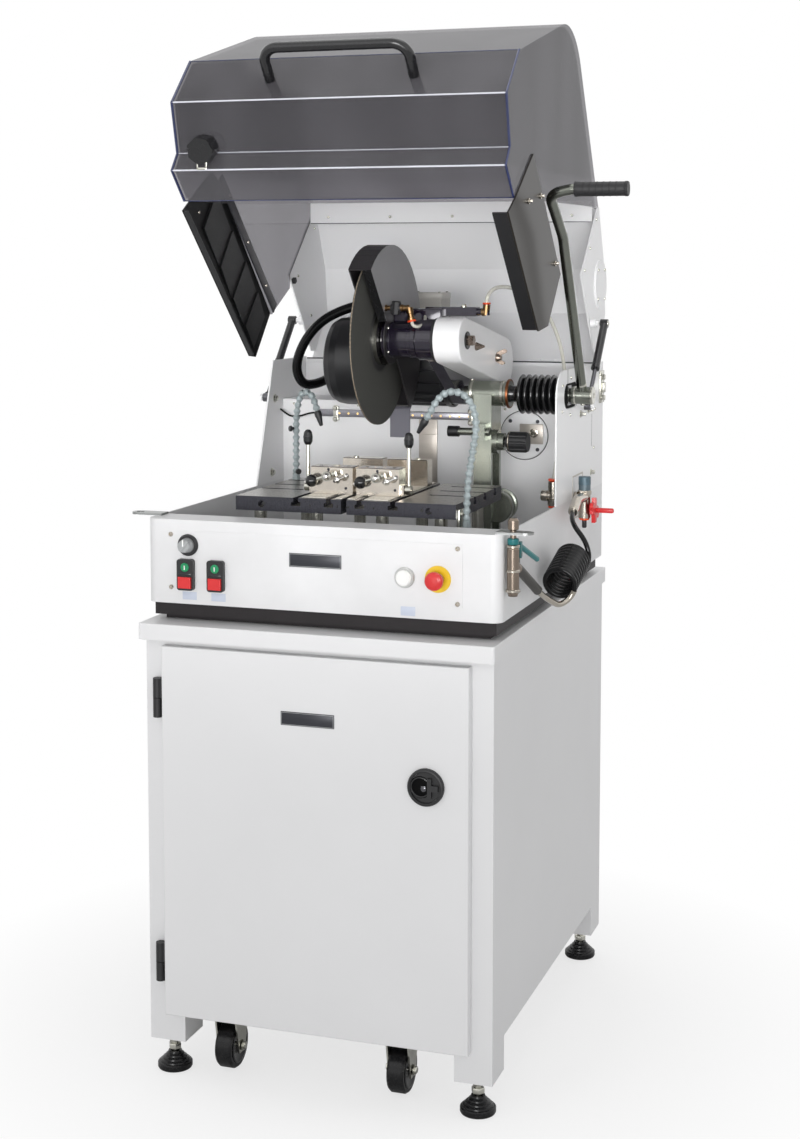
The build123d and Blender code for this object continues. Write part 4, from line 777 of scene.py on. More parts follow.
class SAW_OT_bellows(bpy.types.Operator):
    """Rubber bellows round the pivot shaft"""
    bl_idname = "saw.bellows"
    bl_label = "Bellows"

    def execute(self, context):
        profile = [(13.2, 0), (16, 0), (16, 4), (15.2, 5), (15.2, 12), (17, 14), (24, 17)]
        folds, points, first, last = 8, 10, 17, 110.5
        pitch = (last - first) / folds
        for i in range(folds):
            for a in (k / points for k in range(1, points + 1)):
                profile.append((26.4 + 10.2 * math.sin(math.pi * a) ** 0.6, first + pitch * (i + a * 0.999)))
        profile += [(16, 110.9), (13.2, 110.9)]
        piece("pivot_bellows", "bellows_rubber", (lathe, profile, (198, *PIVOT), RIGHT, 48), angle=60,
              replaced=("bellows",))
        return {"FINISHED"}


class SAW_OT_feet(bpy.types.Operator):
    """Levelling feet with stepped pads, studs and lock nuts"""
    bl_idname = "saw.feet"
    bl_label = "Feet"

    def execute(self, context):
        places = [(x, y, 0) for x in (-274, 274) for y in (-366, 366)]
        piece("foot_pads", "tyre", *[(lathe, PAD, at, UP, 40) for at in places], angle=30,
              replaced=("levelling_feet",))
        studs = []
        for at in places:
            studs.append((lathe, [(0, 26), (6, 26), (6, 62), (0, 62)], at, UP, 20))
            for a, b in ((34, 44), (49, 59.6)):
                nut = [(6, a), (10.4, a), (11.2, a + 1), (11.2, b - 1), (10.4, b), (6, b)]
                studs.append((lathe, nut, at, UP, 6))
        piece("foot_studs", "zinc", *studs)
        return {"FINISHED"}


class SAW_OT_casters(bpy.types.Operator):
    """Hub discs and axle bolts of the casters"""
    bl_idname = "saw.casters"
    bl_label = "Casters"

    def execute(self, context):
        hub = [(7, 15.9), (11, 16.1), (27, 16.1), (28, 16.6), (30, 16.3), (31, 15.8)]
        for side, x in (("left", -180), ("right", 132)):
            for end, y in (("front", -337), ("rear", 337)):
                place = side + "_" + end
                piece("hub_" + place, "gloss_black", (lathe, hub, (x, y, AXLE_Z), LEFT, 40),
                      (lathe, hub, (x, y, AXLE_Z), RIGHT, 40), on="caster_wheel_" + place)
                piece("axle_bolt_" + place, "zinc", (bolts, 6.5, 5, LEFT, [(x - 22.4, y, AXLE_Z)]),
                      (bolts, 6.5, 5, RIGHT, [(x + 22.4, y, AXLE_Z)]))
        return {"FINISHED"}


class SAW_OT_door(bpy.types.Operator):
    """Bare plate, lock barrel, latch pocket with its floor painted as shade, and latch ring of the cabinet
    door
    """
    bl_idname = "saw.door"
    bl_label = "Door"

    def execute(self, context):
        bare_plate("door_plate", (-53, -414, 635), (41, -412.8, 658), "door")
        barrel = [(0, 1.4), (3.6, 1.4), (4.6, 0.8), (4.6, 0)]
        piece("lock_barrel", "rod_steel", (lathe, barrel, (195.5, -417.1, 550.5), FRONT, 28),
              (slab, (191.6, -419.1, 553.4), (199.4, -417.3, 555.6), 0.3), on="latch")
        # The pocket's floor is painted shade, so the flat disc looks deep
        floor = [(0, 0.3), (13.4, 0.3), (14.4, -0.2)]
        piece("latch_pocket", "recess_black", (lathe, floor, LATCH, FRONT, 40), on="latch")
        rim = [(13.8, -0.2), (14.2, 1.2), (15.4, 2.2), (16.8, 2), (18.4, -0.2)]
        piece("latch_pocket_rim", "gloss_black", (lathe, rim, LATCH, FRONT, 40), on="latch")
        ring = [(25.8, 7.2), (27, 8), (29.4, 7.4), (30.6, 6), (30.9, 3), (30.9, -0.2)]
        piece("latch_ring", "black_plastic", (lathe, ring, (199, -413, 553), FRONT, 56), on="door")
        return {"FINISHED"}


class SAW_OT_controls(bpy.types.Operator):
    """Panel screws, bare plate, tags, switch marks, knob pointer and button rim"""
    bl_idname = "saw.controls"
    bl_label = "Controls"

    def execute(self, context):
        r = context.scene.saw_sizes.screw * 1000
        piece("panel_screws", "nickel",
              (screws, r + 0.9, FRONT, [(x, -377.6, z) for x in (-266, 240) for z in (937, 847)]))
        bare_plate("panel_plate", (-51, -378.7, 893), (41, -377.4, 916))
        tags = ((-246, -220, 826.5, 840), (-193, -167, 826.5, 840), (143, 168, 823, 838))
        piece("switch_tags", "label", *[(slab, (a, -376.35, c), (b, -375.9, d), 0.1) for a, b, c, d in tags])
        for side, x in (("left", -237), ("right", -182)):
            piece("mark_on_" + side, "mark_white",
                  (slab, (x - 0.9, -388.35, 879), (x + 0.9, -387.9, 886.2), 0.1), on="green_button_" + side)
            ring = [(3.2, -0.1), (3.2, 0.35), (4.6, 0.35), (4.6, -0.1)]
            piece("mark_off_" + side, "mark_white", (lathe, ring, (x, -390, 857), FRONT, 32),
                  on="red_button_" + side)
            piece("switch_lens_" + side, "gloss_black",
                  (slab, (x - 11, -386.9, 869), (x + 11, -386.3, 872.6), 0.2))
        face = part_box("rotary_knob")[0].y * 1000
        piece("knob_pointer", "mark_white",
              (slab, (-235.1, face - 0.4, 920), (-232.9, face + 0.7, 931.6), 0.3), on="rotary_knob")
        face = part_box("white_button")[0].y * 1000
        rim = [(8.6, 0), (9.2, 0.5), (11.2, 0.5), (11.8, 0)]
        piece("button_rim", "white_plastic", (lathe, rim, (151, face, 886), FRONT, 40), on="white_button")
        return {"FINISHED"}


class SAW_OT_chamber(bpy.types.Operator):
    """Lamp rail, round cover, channel, hinge bracket, painted shade round the wall slot, rear lip and
    fasteners of the chamber
    """
    bl_idname = "saw.chamber"
    bl_label = "Chamber"

    def execute(self, context):
        piece("lamp_rail", "lamp_rail", (slab, (-232, 221.5, 1090), (118, 230.4, 1104), 1.2),
              (slab, (-234, 222.4, 1092.5), (120, 229, 1101.5), 1.0))
        dot = [(0, 0.8), (1.6, 0.8), (2.1, 0.3), (2.1, -0.2)]
        piece("lamp_dots", "lamp_lens",
              *[(lathe, dot, (-186 + i * 19, 221.5, 1097), FRONT, 16) for i in range(16)])
        clips = []
        for x in (-194, 84):
            clips += [(slab, (x - 5, 220.6, 1082), (x + 5, 230.4, 1110), 0.8),
                      (bolts, 4.2, 4, FRONT, [(x, 220.6, z) for z in (1085.5, 1107)])]
        piece("lamp_clips", "zinc", *clips)
        tube("lamp_wire", LAMP_WIRE, 0.0019, "hose_black", sides=3)
        disc = [(0, 2.4), (43, 2.4), (45.4, 1.8), (46.4, 0.2), (46.4, -0.3)]
        piece("round_cover", "enamel", (lathe, disc, COVER, FRONT, 72))
        seal = [(46.3, -0.2), (46.3, 0.7), (46.8, 1.0), (47.6, 0.7), (47.6, -0.2)]
        piece("round_cover_seal", "rubber", (lathe, seal, COVER, FRONT, 72))
        piece("cover_screws_dark", "plate_bare",
              (screws, 3.6, FRONT, [(COVER[0] + a, 227.6, COVER[2] + b) for a, b in diagonals(38)]))
        piece("cover_square", "channel", (slab, (180, 224.6, 1048), (226, 227.8, 1086), 0.8))
        boss = [(0, 5.4), (4.6, 5.4), (5.4, 4.6), (5.4, 2.2), (8.4, 1.6), (8.8, -0.2)]
        piece("cover_boss", "steel", (lathe, boss, (208, 224.6, 1069), FRONT, 32))
        piece("wall_channel", "channel", (slab, (-23, 226.6, 966), (14, 230.2, 1089), 0.6),
              (slab, (-23.6, 226.2, 1059.6), (14.6, 230.2, 1062), 0.3))
        side = ((91, 1185), (27, 1174), (23, 1128), (85, 1118), (286, 1114), (280, 1040))
        piece("chamber_screws", "zinc",
              (screws, 2.6, FRONT, [(x, WALL_Y, 1113) for x in (-285, -150, 0, 150, 285)]),
              (screws, 3.2, REAR, [(x, 358, 1160) for x in (-280, -140, 0, 140, 280)]),
              (screws, 2.8, RIGHT, [(WALL_X, *p) for p in side]))
        pair = [(WALL_X, 168, 1113), (WALL_X, 232, 1116)]
        stud = [(0, 11), (2.4, 11), (3, 10), (3, 4)]
        piece("wall_bolts", "zinc", (bolts, 6.2, 6, RIGHT, [(-309, 187, 1126), (-309, 170, 981)]),
              (bolts, 6.2, 6, FRONT, [(-238, 355, 1168)]), (bolts, 5, 5, RIGHT, pair),
              *[(lathe, stud, at, RIGHT, 16) for at in pair],
              (bolts, 6, 7, RIGHT, [(315, 334, 1132), (315, 334, 1172)]))
        piece("hinge_plate", "zinc", (slab, (311.8, 322, 1122), (315, 357, 1184), 0.6))
        piece("hinge_pad", "zinc", (slab, (314.8, 328, 1142), (321.6, 342, 1162), 1.4, 3))
        piece("wall_slits", "rubber", (slab, (311.7, 65, 1177), (312.25, 67, 1200.8)),
              (slab, (311.7, 262, 1044), (312.25, 263, 1106)))
        # Dark bars round the slot in the right wall are painted shade of its edges
        bars = ((36, 78, 1128, 1178), (112, 154, 1128, 1178), (78, 112, 1128, 1135), (78, 112, 1171, 1178))
        piece("slot_liner", "recess_black", *[(slab, (306.6, a, c), (308.9, b, d)) for a, b, c, d in bars])
        piece("rear_lip", "enamel", (slab, (-306, 352, 1188), (306, 355.2, 1196.4), 0.4))
        piece("rear_seal", "rubber", (slab, (-306, 352.2, 1196.2), (306, 354.8, 1198.8), 0.4))
        return {"FINISHED"}


class SAW_OT_vise(bpy.types.Operator):
    """Jaw screws, clamp pins, crank cones, rear jaw bolts and set screws of the table"""
    bl_idname = "saw.vise"
    bl_label = "Vise"

    def execute(self, context):
        cap = [(0, 0.6), (2.4, 0.6), (3.2, 0.1), (3.2, -0.2)]
        cone = [(8.6, 1), (8.9, 3), (7, 8), (4.4, 11.5), (3.6, 14.6), (0, 15.4)]
        ball_cap = [(0, 13), (2.6, 13), (3.6, 12), (3.6, 8)]
        for side, x0, x1, crank in (("left", -81, -3.5, -44), ("right", 3.5, 81, 46)):
            piece("jaw_screws_" + side, "plate_bare",
                  (screws, 2.4, FRONT, [(crank - 4, -202, 1036), (crank + 28, -202, 1004)]),
                  *[(lathe, cap, (x, -184, 1041), UP, 16) for x in (x0 + 14, x1 - 14)], on="jaw_" + side)
            piece("jaw_clamp_" + side, "chrome",
                  (lathe, CLAMP_PIN, (crank + 28, -202, 1025), (-0.42, -0.88, -0.22), 24), on="jaw_" + side)
            piece("crank_cone_" + side, "chrome", (lathe, cone, (crank, -216, 1026), FRONT, 32),
                  (lathe, ball_cap, (crank - 30, -216, 1017), Vector((-45, 0, -13.5)).normalized(), 20),
                  on="crank_" + side)
        head = [(0, 0.4), (2.6, 0.4), (3.4, 1.8), (5, 1.8), (5.6, 1.2), (5.6, -0.2)]
        piece("rear_jaw_bolts", "zinc", *[(lathe, head, (x, -28, 1040), UP, 20) for x in (-60, 60)])
        holes = ((-148, 3.0), (-62, 1.9), (-12, 1.9), (8, 1.9), (54, 1.9), (140, 3.0))
        piece("table_set_screws", "gloss_black",
              *[(lathe, [(0, 0.3), (r, 0.3), (r + 0.4, -0.2)], (x, -256, 979), FRONT, 16) for x, r in holes])
        return {"FINISHED"}


class SAW_OT_stand(bpy.types.Operator):
    """Bronze seal ring, housing steps and round foot of the pivot stand, band of the stop knob"""
    bl_idname = "saw.stand"
    bl_label = "Pivot stand"

    def execute(self, context):
        ring = [(23.2, 0.2), (26.3, 0.2), (27, 1), (27, 4), (26.3, 5), (24, 5.2)]
        piece("seal_ring", "bronze", (lathe, ring, (193, *PIVOT), RIGHT, 48))
        piece("housing_steps", "zinc", (lathe, collar(23.1, 23.8, 5, 0.6), (124, *PIVOT), RIGHT, 48),
              (lathe, collar(23.1, 24.2, 6, 0.6), (182, *PIVOT), RIGHT, 48))
        foot = [(0, 0), (28, 0), (30, 1.6), (30, 12), (27, 13), (27, 30), (30, 31), (30, 44),
                (28, 46), (0, 46)]
        piece("stand_foot", "stand_mix", (lathe, foot, (177, 118, 945), FRONT, 56))
        band = [(14, 0.1), (18.6, 0.1), (19.4, 0.8), (19.4, 2.6), (18.8, 3)]
        piece("knob_band", "nickel", (lathe, band, (198, 85, 1065), RIGHT, 40), on="stop_knob")
        return {"FINISHED"}


class SAW_OT_drive(bpy.types.Operator):
    """Spindle housing rings, coolant fittings and belt cover hardware on the arm"""
    bl_idname = "saw.drive"
    bl_label = "Drive"

    def execute(self, context):
        rings = []
        for x, w, r in ((15, 7, 33.4), (25, 2, 31.7), (58, 3, 31.8), (66, 9, 33.2)):
            ring = [(30.8, 0), (r - 0.5, 0), (r, 0.6), (r, w - 0.6), (r - 0.5, w), (30.8, w)]
            rings.append((lathe, ring, (x, *SPINDLE), RIGHT, 56))
        piece("housing_rings", "cast_gloss", *rings, on="arm")
        piece("casting_bridge", "cast_gloss", (slab, (23.8, -62, 1282), (112, -18, 1312), 2.0, 3), on="arm")
        seal = [(36, 0), (38.4, 0.4), (38.8, 2), (38.4, 5.6), (36, 6)]
        piece("cover_seal", "rubber", (lathe, seal, (105.8, *SPINDLE), RIGHT, 56), on="arm")
        wings = []
        for reach, rise in ((18, 14), (14, -11)):
            tip, low = 1217 + rise, 1217 + rise * 0.2
            wing = [(163, low - rise * 0.1), (162 + reach, tip - rise * 0.3), (163 + reach, tip),
                    (158 + reach, tip + rise * 0.2), (161, low + rise * 0.5)]
            wings.append((prism, wing, "y", 126, 134, 1.2))
        piece("cover_hardware", "hardware",
              (lathe, [(0, 14), (8.4, 14), (10, 12.8), (10, 2)], (160, -63, 1257), RIGHT, 6),
              (lathe, [(0, 17), (1.6, 16.4), (7, 3), (7.6, 1.6), (7.6, -0.2)], (160, -6, 1244), RIGHT, 8),
              (lathe, [(0, 10), (5.4, 10), (8, 6), (8, -0.2)], (160, 130, 1217), RIGHT, 20), *wings, on="arm")
        washer = [(4, 0), (15, 0), (15.8, 0.8), (15.8, 2.4), (15, 3), (4, 3)]
        piece("cover_washer", "gloss_black", (lathe, washer, (160, -63, 1257), RIGHT, 40), on="arm")
        under = [(140, -82, 1222), (140, 40, 1182), (140, 120, 1157)]
        piece("cover_screws", "zinc", (screws, 2.6, (0, -0.35, -0.94), under), on="arm")
        drop, aside = (0.2, 0, -0.98), (-0.7, -0.6, 0.3)
        inlet = [(0, 0), (6, 0), (6, 2), (4.4, 3), (4.4, 14), (0, 14)]
        union = [(0, 0), (5.4, 0), (6.4, 1), (6.4, 6), (5, 7), (5, 13), (6, 14), (6, 18), (0, 19)]
        elbow = [(0, -4), (6.2, -4), (6.2, 6), (5, 7), (5, 13), (7, 14), (7, 18), (0, 18)]
        outlet = [(0, 0), (5, 0), (5, 7), (7, 8), (7, 14), (5.4, 15), (5.4, 20), (0, 20)]
        riser = [(0, -6), (6.6, -6), (6.6, 12), (5, 13), (0, 13)]
        nipple = [(0, 0), (4.6, 0), (5.6, 1), (5.6, 8), (4, 9), (0, 9)]
        piece("coolant_fittings", "brass", (lathe, inlet, (23.8, -105, 1314), RIGHT, 24),
              (lathe, union, (50, -105, 1314), RIGHT, 24), (lathe, elbow, (68, -105, 1311), drop, 24),
              (lathe, outlet, (171.6, -34, 1305), (1, 0, 0.1), 24),
              (lathe, riser, (187, -34, 1307), (0.1, 0, 1), 24), (lathe, nipple, (86, -44, 1301), aside, 16),
              on="arm")
        piece("release_rings", "orange", (lathe, push_ring(3, 7.2, 3.4), (71.6, -105, 1293.4), drop, 24),
              (lathe, push_ring(3, 7.2, 3.4), (80, -49, 1303.6), aside, 24),
              (lathe, push_ring(3.6, 6.8, 3), (188, -34, 1320), UP, 24), on="arm")
        block = [(0, -12), (7.4, -12), (8.6, -10.6), (8.6, 10.6), (7.4, 12), (0, 12)]
        cross = [(0, -9), (6.4, -9), (7, -8), (7, 8), (6.4, 9), (0, 9)]
        piece("fitting_body", "rubber", (lathe, block, (43, -105, 1314), (0.1, 0, 1), 8),
              (lathe, cross, (43, -105, 1314), RIGHT, 24), on="arm")
        tube("feed_link", FEED_LINK, 0.003, "clear_tube", "arm", 4)
        piece("arm_bolts", "zinc", (bolts, 4.4, 5, UP, [(146, -34, 1315)]),
              (screws, 3, RIGHT, [(24, -92, 1278), (24, -92, 1236), (24, -49, 1234)]), on="arm")
        return {"FINISHED"}


class SAW_OT_motor(bpy.types.Operator):
    """Cowl bands, vent rings and terminal box lid of the motor"""
    bl_idname = "saw.motor"
    bl_label = "Motor"

    def execute(self, context):
        band = [(83, 0), (85.2, 0.6), (85.6, 2), (85.6, 7), (85.2, 8.4), (83, 9)]
        rear = (-184, *MOTOR)
        radii = [16 + k * 8.4 for k in range(6)]
        vents = [[(r, -0.2), (r, 0.8), (r + 3.4, 0.8), (r + 3.4, -0.2)] for r in radii]
        piece("motor_bands", "motor_black", *[(lathe, band, (x, *MOTOR), RIGHT, 72) for x in (-120, 52)],
              (lathe, [(0, 0.8), (8, 0.8), (10, 0.4), (10, -0.2)], rear, LEFT, 32),
              *[(lathe, vent, rear, LEFT, 64) for vent in vents], on="arm")
        piece("terminal_lid", "box_grey", (slab, (-28.5, 164.5, 1324), (42.5, 225.5, 1336), 2.4, 3), on="arm")
        piece("terminal_screws", "zinc",
              (screws, 2.6, UP, [(x, y, 1336) for x in (-22, 36) for y in (171, 219)]), on="arm")
        return {"FINISHED"}


class SAW_OT_wheel(bpy.types.Operator):
    """Worn rim and paper washers of the cutting wheel, folded lip of its guard in black as painted shade"""
    bl_idname = "saw.wheel"
    bl_label = "Cutting wheel"

    def execute(self, context):
        rim = [(151.4, -1.62), (152.4, -1.2), (152.6, 0), (152.4, 1.2), (151.4, 1.62)]
        piece("wheel_rim", "rim_brown", (lathe, rim, (0, *SPINDLE), RIGHT, 128), on="spindle")
        paper = [(46.2, 1.55), (56, 1.62), (57, 1.9), (46.2, 1.9)]
        piece("wheel_blotters", "rubber", *[(lathe, paper, (0, *SPINDLE), way, 64) for way in (LEFT, RIGHT)],
              on="spindle")
        edge = math.radians(132)
        way = Vector((math.cos(edge), math.sin(edge)))
        hub = Vector(SPINDLE)
        # A lip along the front edge of the guard's right plate, black as painted shade of the band there
        piece("guard_lip", "gloss_black", (beam, 9, 23.9, hub + way * 46, hub + way * 166, 3), on="arm")
        return {"FINISHED"}


class SAW_OT_hood(bpy.types.Operator):
    """Sheet edges, painted highlights along the folds, a painted shadow line under the lip, screws, skirt
    slats in painted shade, strip and interlock clip of the hood
    """
    bl_idname = "saw.hood"
    bl_label = "Hood"

    def execute(self, context):
        for side, x in (("left", -294.9), ("right", 294.9)):
            edge = [(x, *p) for p in HOOD_EDGE]
            piece("hood_edge_" + side, "edge_dark",
                  *[(rod, a, b, 2.3) for a, b in zip(edge, edge[1:])], on="hood")
        # The light rods along the three inner folds are painted highlights
        for name, finish, corners, inset, r in (("hood_folds", "edge_bright", HOOD_EDGE[1:4], 1.2, 1.5),
                                                ("hood_soft_folds", "edge_dark", HOOD_EDGE[::4], 1.4, 1.2)):
            lines = [((-SHEET_X, y + inset, z), (SHEET_X, y + inset, z)) for y, z in corners]
            piece(name, finish, *[(rod, a, b, r) for a, b in lines], on="hood")
        cheek = ((352, 1476), (256, 1378), (300, 1420), (380, 1250))
        piece("hood_frame_screws", "zinc",
              (screws, 3, FRONT, [(x, 338, 1484) for x in (-252, -120, 10, 132, 252)]),
              (screws, 3, RIGHT, [(-294, 366, 1462), (-294, 275, 1366), (-294, 345, 1285)]),
              (screws, 3, LEFT, [(-297, *p) for p in cheek]), (screws, 3, RIGHT, [(297, *p) for p in cheek]),
              (screws, 3.2, RIGHT, [(301, 385 + a, 1350 + b) for a, b in diagonals(40)]), on="hood")
        leaf = [(366.9, 1201.6), (370, 1201.6), (377, 1210), (373.8, 1210)]
        piece("hinge_covers", "enamel", (prism, leaf, "x", -213.6, -186.4), (prism, leaf, "x", 186.4, 213.6),
              on="hood")
        # Thin dark strip under the lip: a painted shadow line
        piece("rim_seal", "plate_bare", (slab, (-290.6, 337.4, 1470.8), (290.6, 340.8, 1472.2), 0.2),
              on="hood")
        tilt = Matrix.Rotation(math.radians(30), 4, "X")
        piece("cheek_stop", "black_plastic",
              (slab, (-293.9, 240, 1352), (-286, 250, 1362), 1.2, 2, tilt), on="hood")
        piece("skirt_flanges", "skirt_black", (beam, 272, 297, (-297, 1474), (-102, 1279), 3),
              (beam, -297, -288, (-248, 1482), (35, 1219), 3), on="hood")
        # Slats of the left skirt, darker as painted shade
        slats = zip(SLAT_HIGH, SLAT_LOW, SLAT_LOW[1:], SLAT_HIGH[1:])
        piece("skirt_slats", "skirt_slat", *[(slat, corners) for corners in slats], on="hood")
        strip = [(-116, 1540), (138, 1296), (153, 1312), (-98, 1553)]
        piece("skirt_strip", "skirt_strip", (prism, strip, "x", STRIP_X - 2.5, STRIP_X, 0.5), on="hood")
        pin = [(0, 8), (2.4, 8), (2.8, 7), (2.8, 3), (5, 2.6), (5, 0.4), (3, -0.2)]
        piece("skirt_screws", "nickel",
              (screws, 3.2, RIGHT, [(STRIP_X, -71, 1515), (STRIP_X, 13, 1431), (STRIP_X, 98, 1349)]),
              (screws, 3.2, RIGHT, [(-296.8, -170, 1504), (-296.8, -188, 1482)]),
              *[(lathe, pin, (300, *p), RIGHT, 16) for p in ((-97, 1507), (-177, 1496), (8, 1392))],
              on="hood")
        bars = ((-247.5, -244.5, 1552, 1584), (-231.5, -228.5, 1552, 1584), (-247.5, -228.5, 1550, 1554))
        piece("interlock_clip", "zinc", *[(slab, (a, -302, c), (b, -299.4, d), 0.4) for a, b, c, d in bars],
              (screws, 3.2, FRONT, [(-246, -292, 1594), (-230, -292, 1584)]), on="hood")
        return {"FINISHED"}


class SAW_OT_lever(bpy.types.Operator):
    """Grip rings, hub cap and weld of the feed lever"""
    bl_idname = "saw.lever"
    bl_label = "Feed lever"

    def execute(self, context):
        root = [(8, -0.2), (12.4, -0.2), (12.7, 1), (12.7, 4), (12.2, 5)]
        end = [(12.1, 84), (12.6, 85), (12.6, 88.8), (11.8, 89.8), (0, 89.8)]
        rib = [(11.9, 0), (12.35, 0.5), (12.35, 2), (11.9, 2.5)]
        piece("grip_rings", "rubber", *[(lathe, ring, (378, *GRIP), RIGHT, 32) for ring in (root, end)],
              *[(lathe, rib, (392 + k * 11, *GRIP), RIGHT, 32) for k in range(6)], on="arm")
        cap = [(16.1, 0), (16.6, 0.6), (16.6, 3), (15, 4.4), (6, 4.6), (5, 3.4), (0, 3.4)]
        step = [(15.8, 0), (16.5, 0.5), (16.5, 3), (15.8, 3.6)]
        piece("lever_cap", "zinc", (lathe, cap, (349, *PIVOT), RIGHT, 40),
              (lathe, step, (318, *PIVOT), RIGHT, 40), (screws, 4, DOWN, [(333, 95, 1137.2)]), on="arm")
        weld = [(7.8, 0), (9.6, 1.4), (9.4, 4), (8.2, 6)]
        piece("lever_weld", "zinc", (lathe, weld, (333, 84, 1172), (0, -0.49, 0.87), 28), on="arm")
        return {"FINISHED"}


class SAW_OT_valve(bpy.types.Operator):
    """Rings, nuts, plug, elbow, cross handle and outline of the water valve, collars of the spray gun"""
    bl_idname = "saw.valve"
    bl_label = "Water valve"

    def execute(self, context):
        piece("valve_ring", "orange", (lathe, push_ring(0, 9, 3.6), (*VALVE, 925), DOWN, 28))
        ferrule = [(8, -14), (9, -13), (9, -2), (8, 0), (4.8, 0.2)]
        piece("valve_nuts", "nickel", (lathe, collar(11, 13, 9), (*VALVE, 968), UP, 6),
              (lathe, collar(10, 15, 7), (312.2, 125, 960), RIGHT, 6),
              (lathe, ferrule, HOSE_EXIT, HOSE_WAY, 28))
        piece("valve_bolts", "zinc", (bolts, 4.4, 8, RIGHT, [(WALL_X, 258, 995)]))
        plug = [(0, 0), (10.6, 0), (11.4, 0.8), (11.4, 14.4), (10.4, 15.6), (3, 15.6), (2.6, 14.6), (0, 14.6)]
        piece("valve_plug", "plug_grey", (lathe, plug, (*VALVE, 986), UP, 32))
        tube("valve_elbow", ELBOW, 0.0092, "nickel", sides=6)
        stub = [(0, 0), (4, 0), (4.4, 1), (4.4, 13), (3.4, 15), (0, 15)]
        piece("valve_stub", "black_plastic", (lathe, stub, (*VALVE, 921.6), DOWN, 20))
        piece("handle_cross", "red", (prism, HANDLE_CROSS, "x", 345.8, 353.2, 1.6),
              (slab, (352, 120.5, 935.5), (386, 129.5, 944.5), 3.2, 3), on="valve_handle")
        bars = ((108, 190, 1000, 1003), (108, 190, 922, 925), (108, 111, 925, 1000), (187, 190, 925, 1000))
        piece("valve_outline", "channel", *[(slab, (311.8, a, c), (312.5, b, d)) for a, b, c, d in bars])
        sleeve = [(4.9, 0), (9, 0.6), (9.4, 2), (9.4, 9), (8, 10.4), (4.9, 10.4)]
        piece("gun_collar", "teal", (lathe, sleeve, (*GUN, 945), UP, 28))
        nozzle = [(0, 0.8), (2.6, 0.8), (3.4, -0.2), (6.4, -0.4), (7.4, 0.6), (8, -0.2)]
        rings = ((868, 12), (900, 11.4), (940, 11))
        piece("gun_ferrules", "nickel",
              *[(lathe, collar(r - 1.4, r, 5), (*GUN, z), UP, 32) for z, r in rings],
              (lathe, nozzle, (*GUN, 862), DOWN, 24))
        return {"FINISHED"}


class SAW_OT_springs(bpy.types.Operator):
    """Collars and ball studs of the gas springs"""
    bl_idname = "saw.springs"
    bl_label = "Gas springs"

    def execute(self, context):
        way = (SPRING_TOP - SPRING_BASE).normalized()
        foot = [(3.4, 0), (6.4, 0.6), (6.4, 5.4), (4.2, 6.4), (3.8, 8.6)]
        mouth = [(3.4, -0.4), (8.2, 0), (8.4, 2), (8.2, 7), (7.4, 8)]
        ball = [(0, 9), (3, 9), (5, 7.6), (5.6, 5), (5, 2.4), (3.4, 0.8), (3.4, -6)]
        for side, out in SIDES:
            across = Vector((out * SPRING_X, 0, 0))
            base = SPRING_BASE + across
            piece("spring_foot_" + side, "black_plastic", (lathe, foot, base + way * 4, way, 24),
                  on="gas_rod_" + side)
            piece("spring_collar_" + side, "gloss_black", (lathe, mouth, base + way * 88, way, 28),
                  on="gas_cylinder_" + side)
            piece("spring_stud_" + side, "zinc",
                  (lathe, ball, SPRING_TOP + across, (out, 0, 0), 24), on="hood")
        return {"FINISHED"}


def hang(scene, name, data, at, aim):
    lamp = bpy.data.objects.new(name, data)
    lamp.location = at
    lamp.rotation_euler = (Vector(aim) - Vector(at)).to_track_quat("-Z", "Y").to_euler()
    scene.collection.objects.link(lamp)


def white_surround(scene):
    """White to the camera, softer as light"""
    world = bpy.data.worlds.new("surround")
    scene.world = world
    world.use_nodes = True
    tree = world.node_tree
    path = add(tree, "ShaderNodeLightPath").outputs
    seen = path["Is Camera Ray"]
    for kind in ("Is Transmission Ray", "Is Glossy Ray"):
        seen = combined(tree, seen, path[kind], operation="MAXIMUM")
    back = tree.nodes["Background"]
    tree.links.new(spread(tree, seen, SURROUND_LIGHT, 1.0, (0.0, 1.0)), back.inputs["Strength"])
    put(back, {"Color": (1, 1, 1, 1)})


def pale_floor(scene):
    """Floor that keeps the shadow near the saw and fades to white"""
    tree, bsdf = begin("floor")
    tone = ramp(tree, noise(tree, placed(tree), 2.0), shade(linear("f4f4f4"), 1), shade(linear("f8f8f8"), 1))
    tree.links.new(tone, bsdf.inputs["Base Color"])
    put(bsdf, {"Roughness": 0.9})
    glow = add(tree, "ShaderNodeEmission", {"Color": (1, 1, 1, 1), "Strength": 1.0})
    away = add(tree, "ShaderNodeVectorMath", operation="LENGTH")
    tree.links.new(add(tree, "ShaderNodeTexCoord").outputs["Object"], away.inputs[0])
    fade = spread(tree, away.outputs["Value"], FLOOR_GLOW, 1.0, FLOOR_FADE)
    share = combined(tree, add(tree, "ShaderNodeLightPath").outputs["Is Camera Ray"], fade)
    surface(tree, share, bsdf.outputs["BSDF"], glow.outputs["Emission"])
    bm = bmesh.new()
    bmesh.ops.create_grid(bm, x_segments=4, y_segments=4, size=9.0)
    mesh = bpy.data.meshes.new("floor")
    bm.to_mesh(mesh)
    bm.free()
    mesh.materials.append(FINISH["floor"])
    floor = bpy.data.objects.new("floor", mesh)
    scene.collection.objects.link(floor)


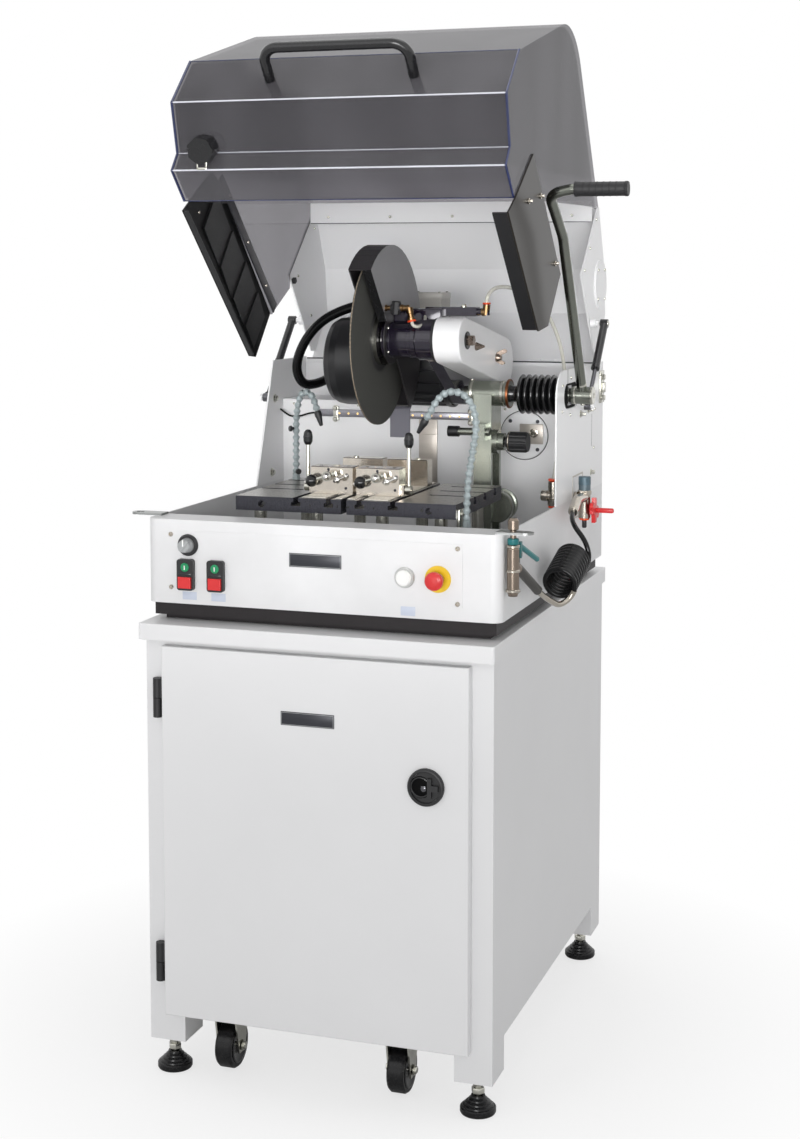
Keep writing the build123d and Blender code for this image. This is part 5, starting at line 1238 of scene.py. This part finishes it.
class SAW_OT_stage(bpy.types.Operator):
    """Pale floor, soft lamps, white surround and the camera"""
    bl_idname = "saw.stage"
    bl_label = "Stage"

    def execute(self, context):
        scene = context.scene
        white_surround(scene)
        pale_floor(scene)
        for name, (at, aim, size, power, cone) in LAMPS.items():
            data = bpy.data.lights.new(name, "AREA")
            data.shape = "RECTANGLE"
            data.size, data.size_y = size
            data.energy = power
            data.spread = math.radians(cone)
            hang(scene, name, data, at, aim)
        data = bpy.data.lights.new("front", "SUN")
        data.angle = math.radians(SUN_ANGLE)
        data.energy = SUN_POWER
        hang(scene, "front", data, SUN_AT, SUN_AIM)
        data = bpy.data.cameras.new("camera")
        data.sensor_fit = "VERTICAL"
        data.sensor_height = 36.0
        data.lens = scene.saw_sizes.camera * 1000
        data.shift_y = CAMERA_SHIFT
        data.clip_end = 60
        camera = bpy.data.objects.new("camera", data)
        camera.location = CAMERA_AT
        camera.rotation_euler = (math.radians(CAMERA_TILT), 0, math.radians(CAMERA_TURN))
        scene.collection.objects.link(camera)
        scene.camera = camera
        scene.view_settings.view_transform = "Standard"
        return {"FINISHED"}


STEPS = (SAW_OT_finishes, SAW_OT_stage, SAW_OT_cables, SAW_OT_spray_line, SAW_OT_coolant, SAW_OT_bellows,
         SAW_OT_feet, SAW_OT_casters, SAW_OT_door, SAW_OT_controls, SAW_OT_chamber, SAW_OT_vise, SAW_OT_stand,
         SAW_OT_drive, SAW_OT_motor, SAW_OT_wheel, SAW_OT_hood, SAW_OT_lever, SAW_OT_valve, SAW_OT_springs)


class SAW_PT_sidebar(bpy.types.Panel):
    """Lists the saw's pieces, sizes and colours"""
    bl_idname = "SAW_PT_sidebar"
    bl_label = "Cut-off saw"
    bl_space_type = "VIEW_3D"
    bl_region_type = "UI"
    bl_category = "Saw"

    def draw(self, context):
        for group in (context.scene.saw_sizes, context.scene.saw_finishes):
            for key in group.__annotations__:
                self.layout.prop(group, key)
        for step in STEPS:
            self.layout.operator(step.bl_idname)


CLASSES = (SawFinishes, SawSizes, *STEPS, SAW_PT_sidebar)


def register():
    for cls in CLASSES:
        bpy.utils.register_class(cls)
    bpy.types.Scene.saw_finishes = bpy.props.PointerProperty(type=SawFinishes)
    bpy.types.Scene.saw_sizes = bpy.props.PointerProperty(type=SawSizes)


def unregister():
    del bpy.types.Scene.saw_sizes
    del bpy.types.Scene.saw_finishes
    for cls in reversed(CLASSES):
        bpy.utils.unregister_class(cls)


def main():
    register()
    for step in STEPS:
        getattr(bpy.ops.saw, step.bl_idname.split(".")[1])()


if __name__ == "__main__":
    main()
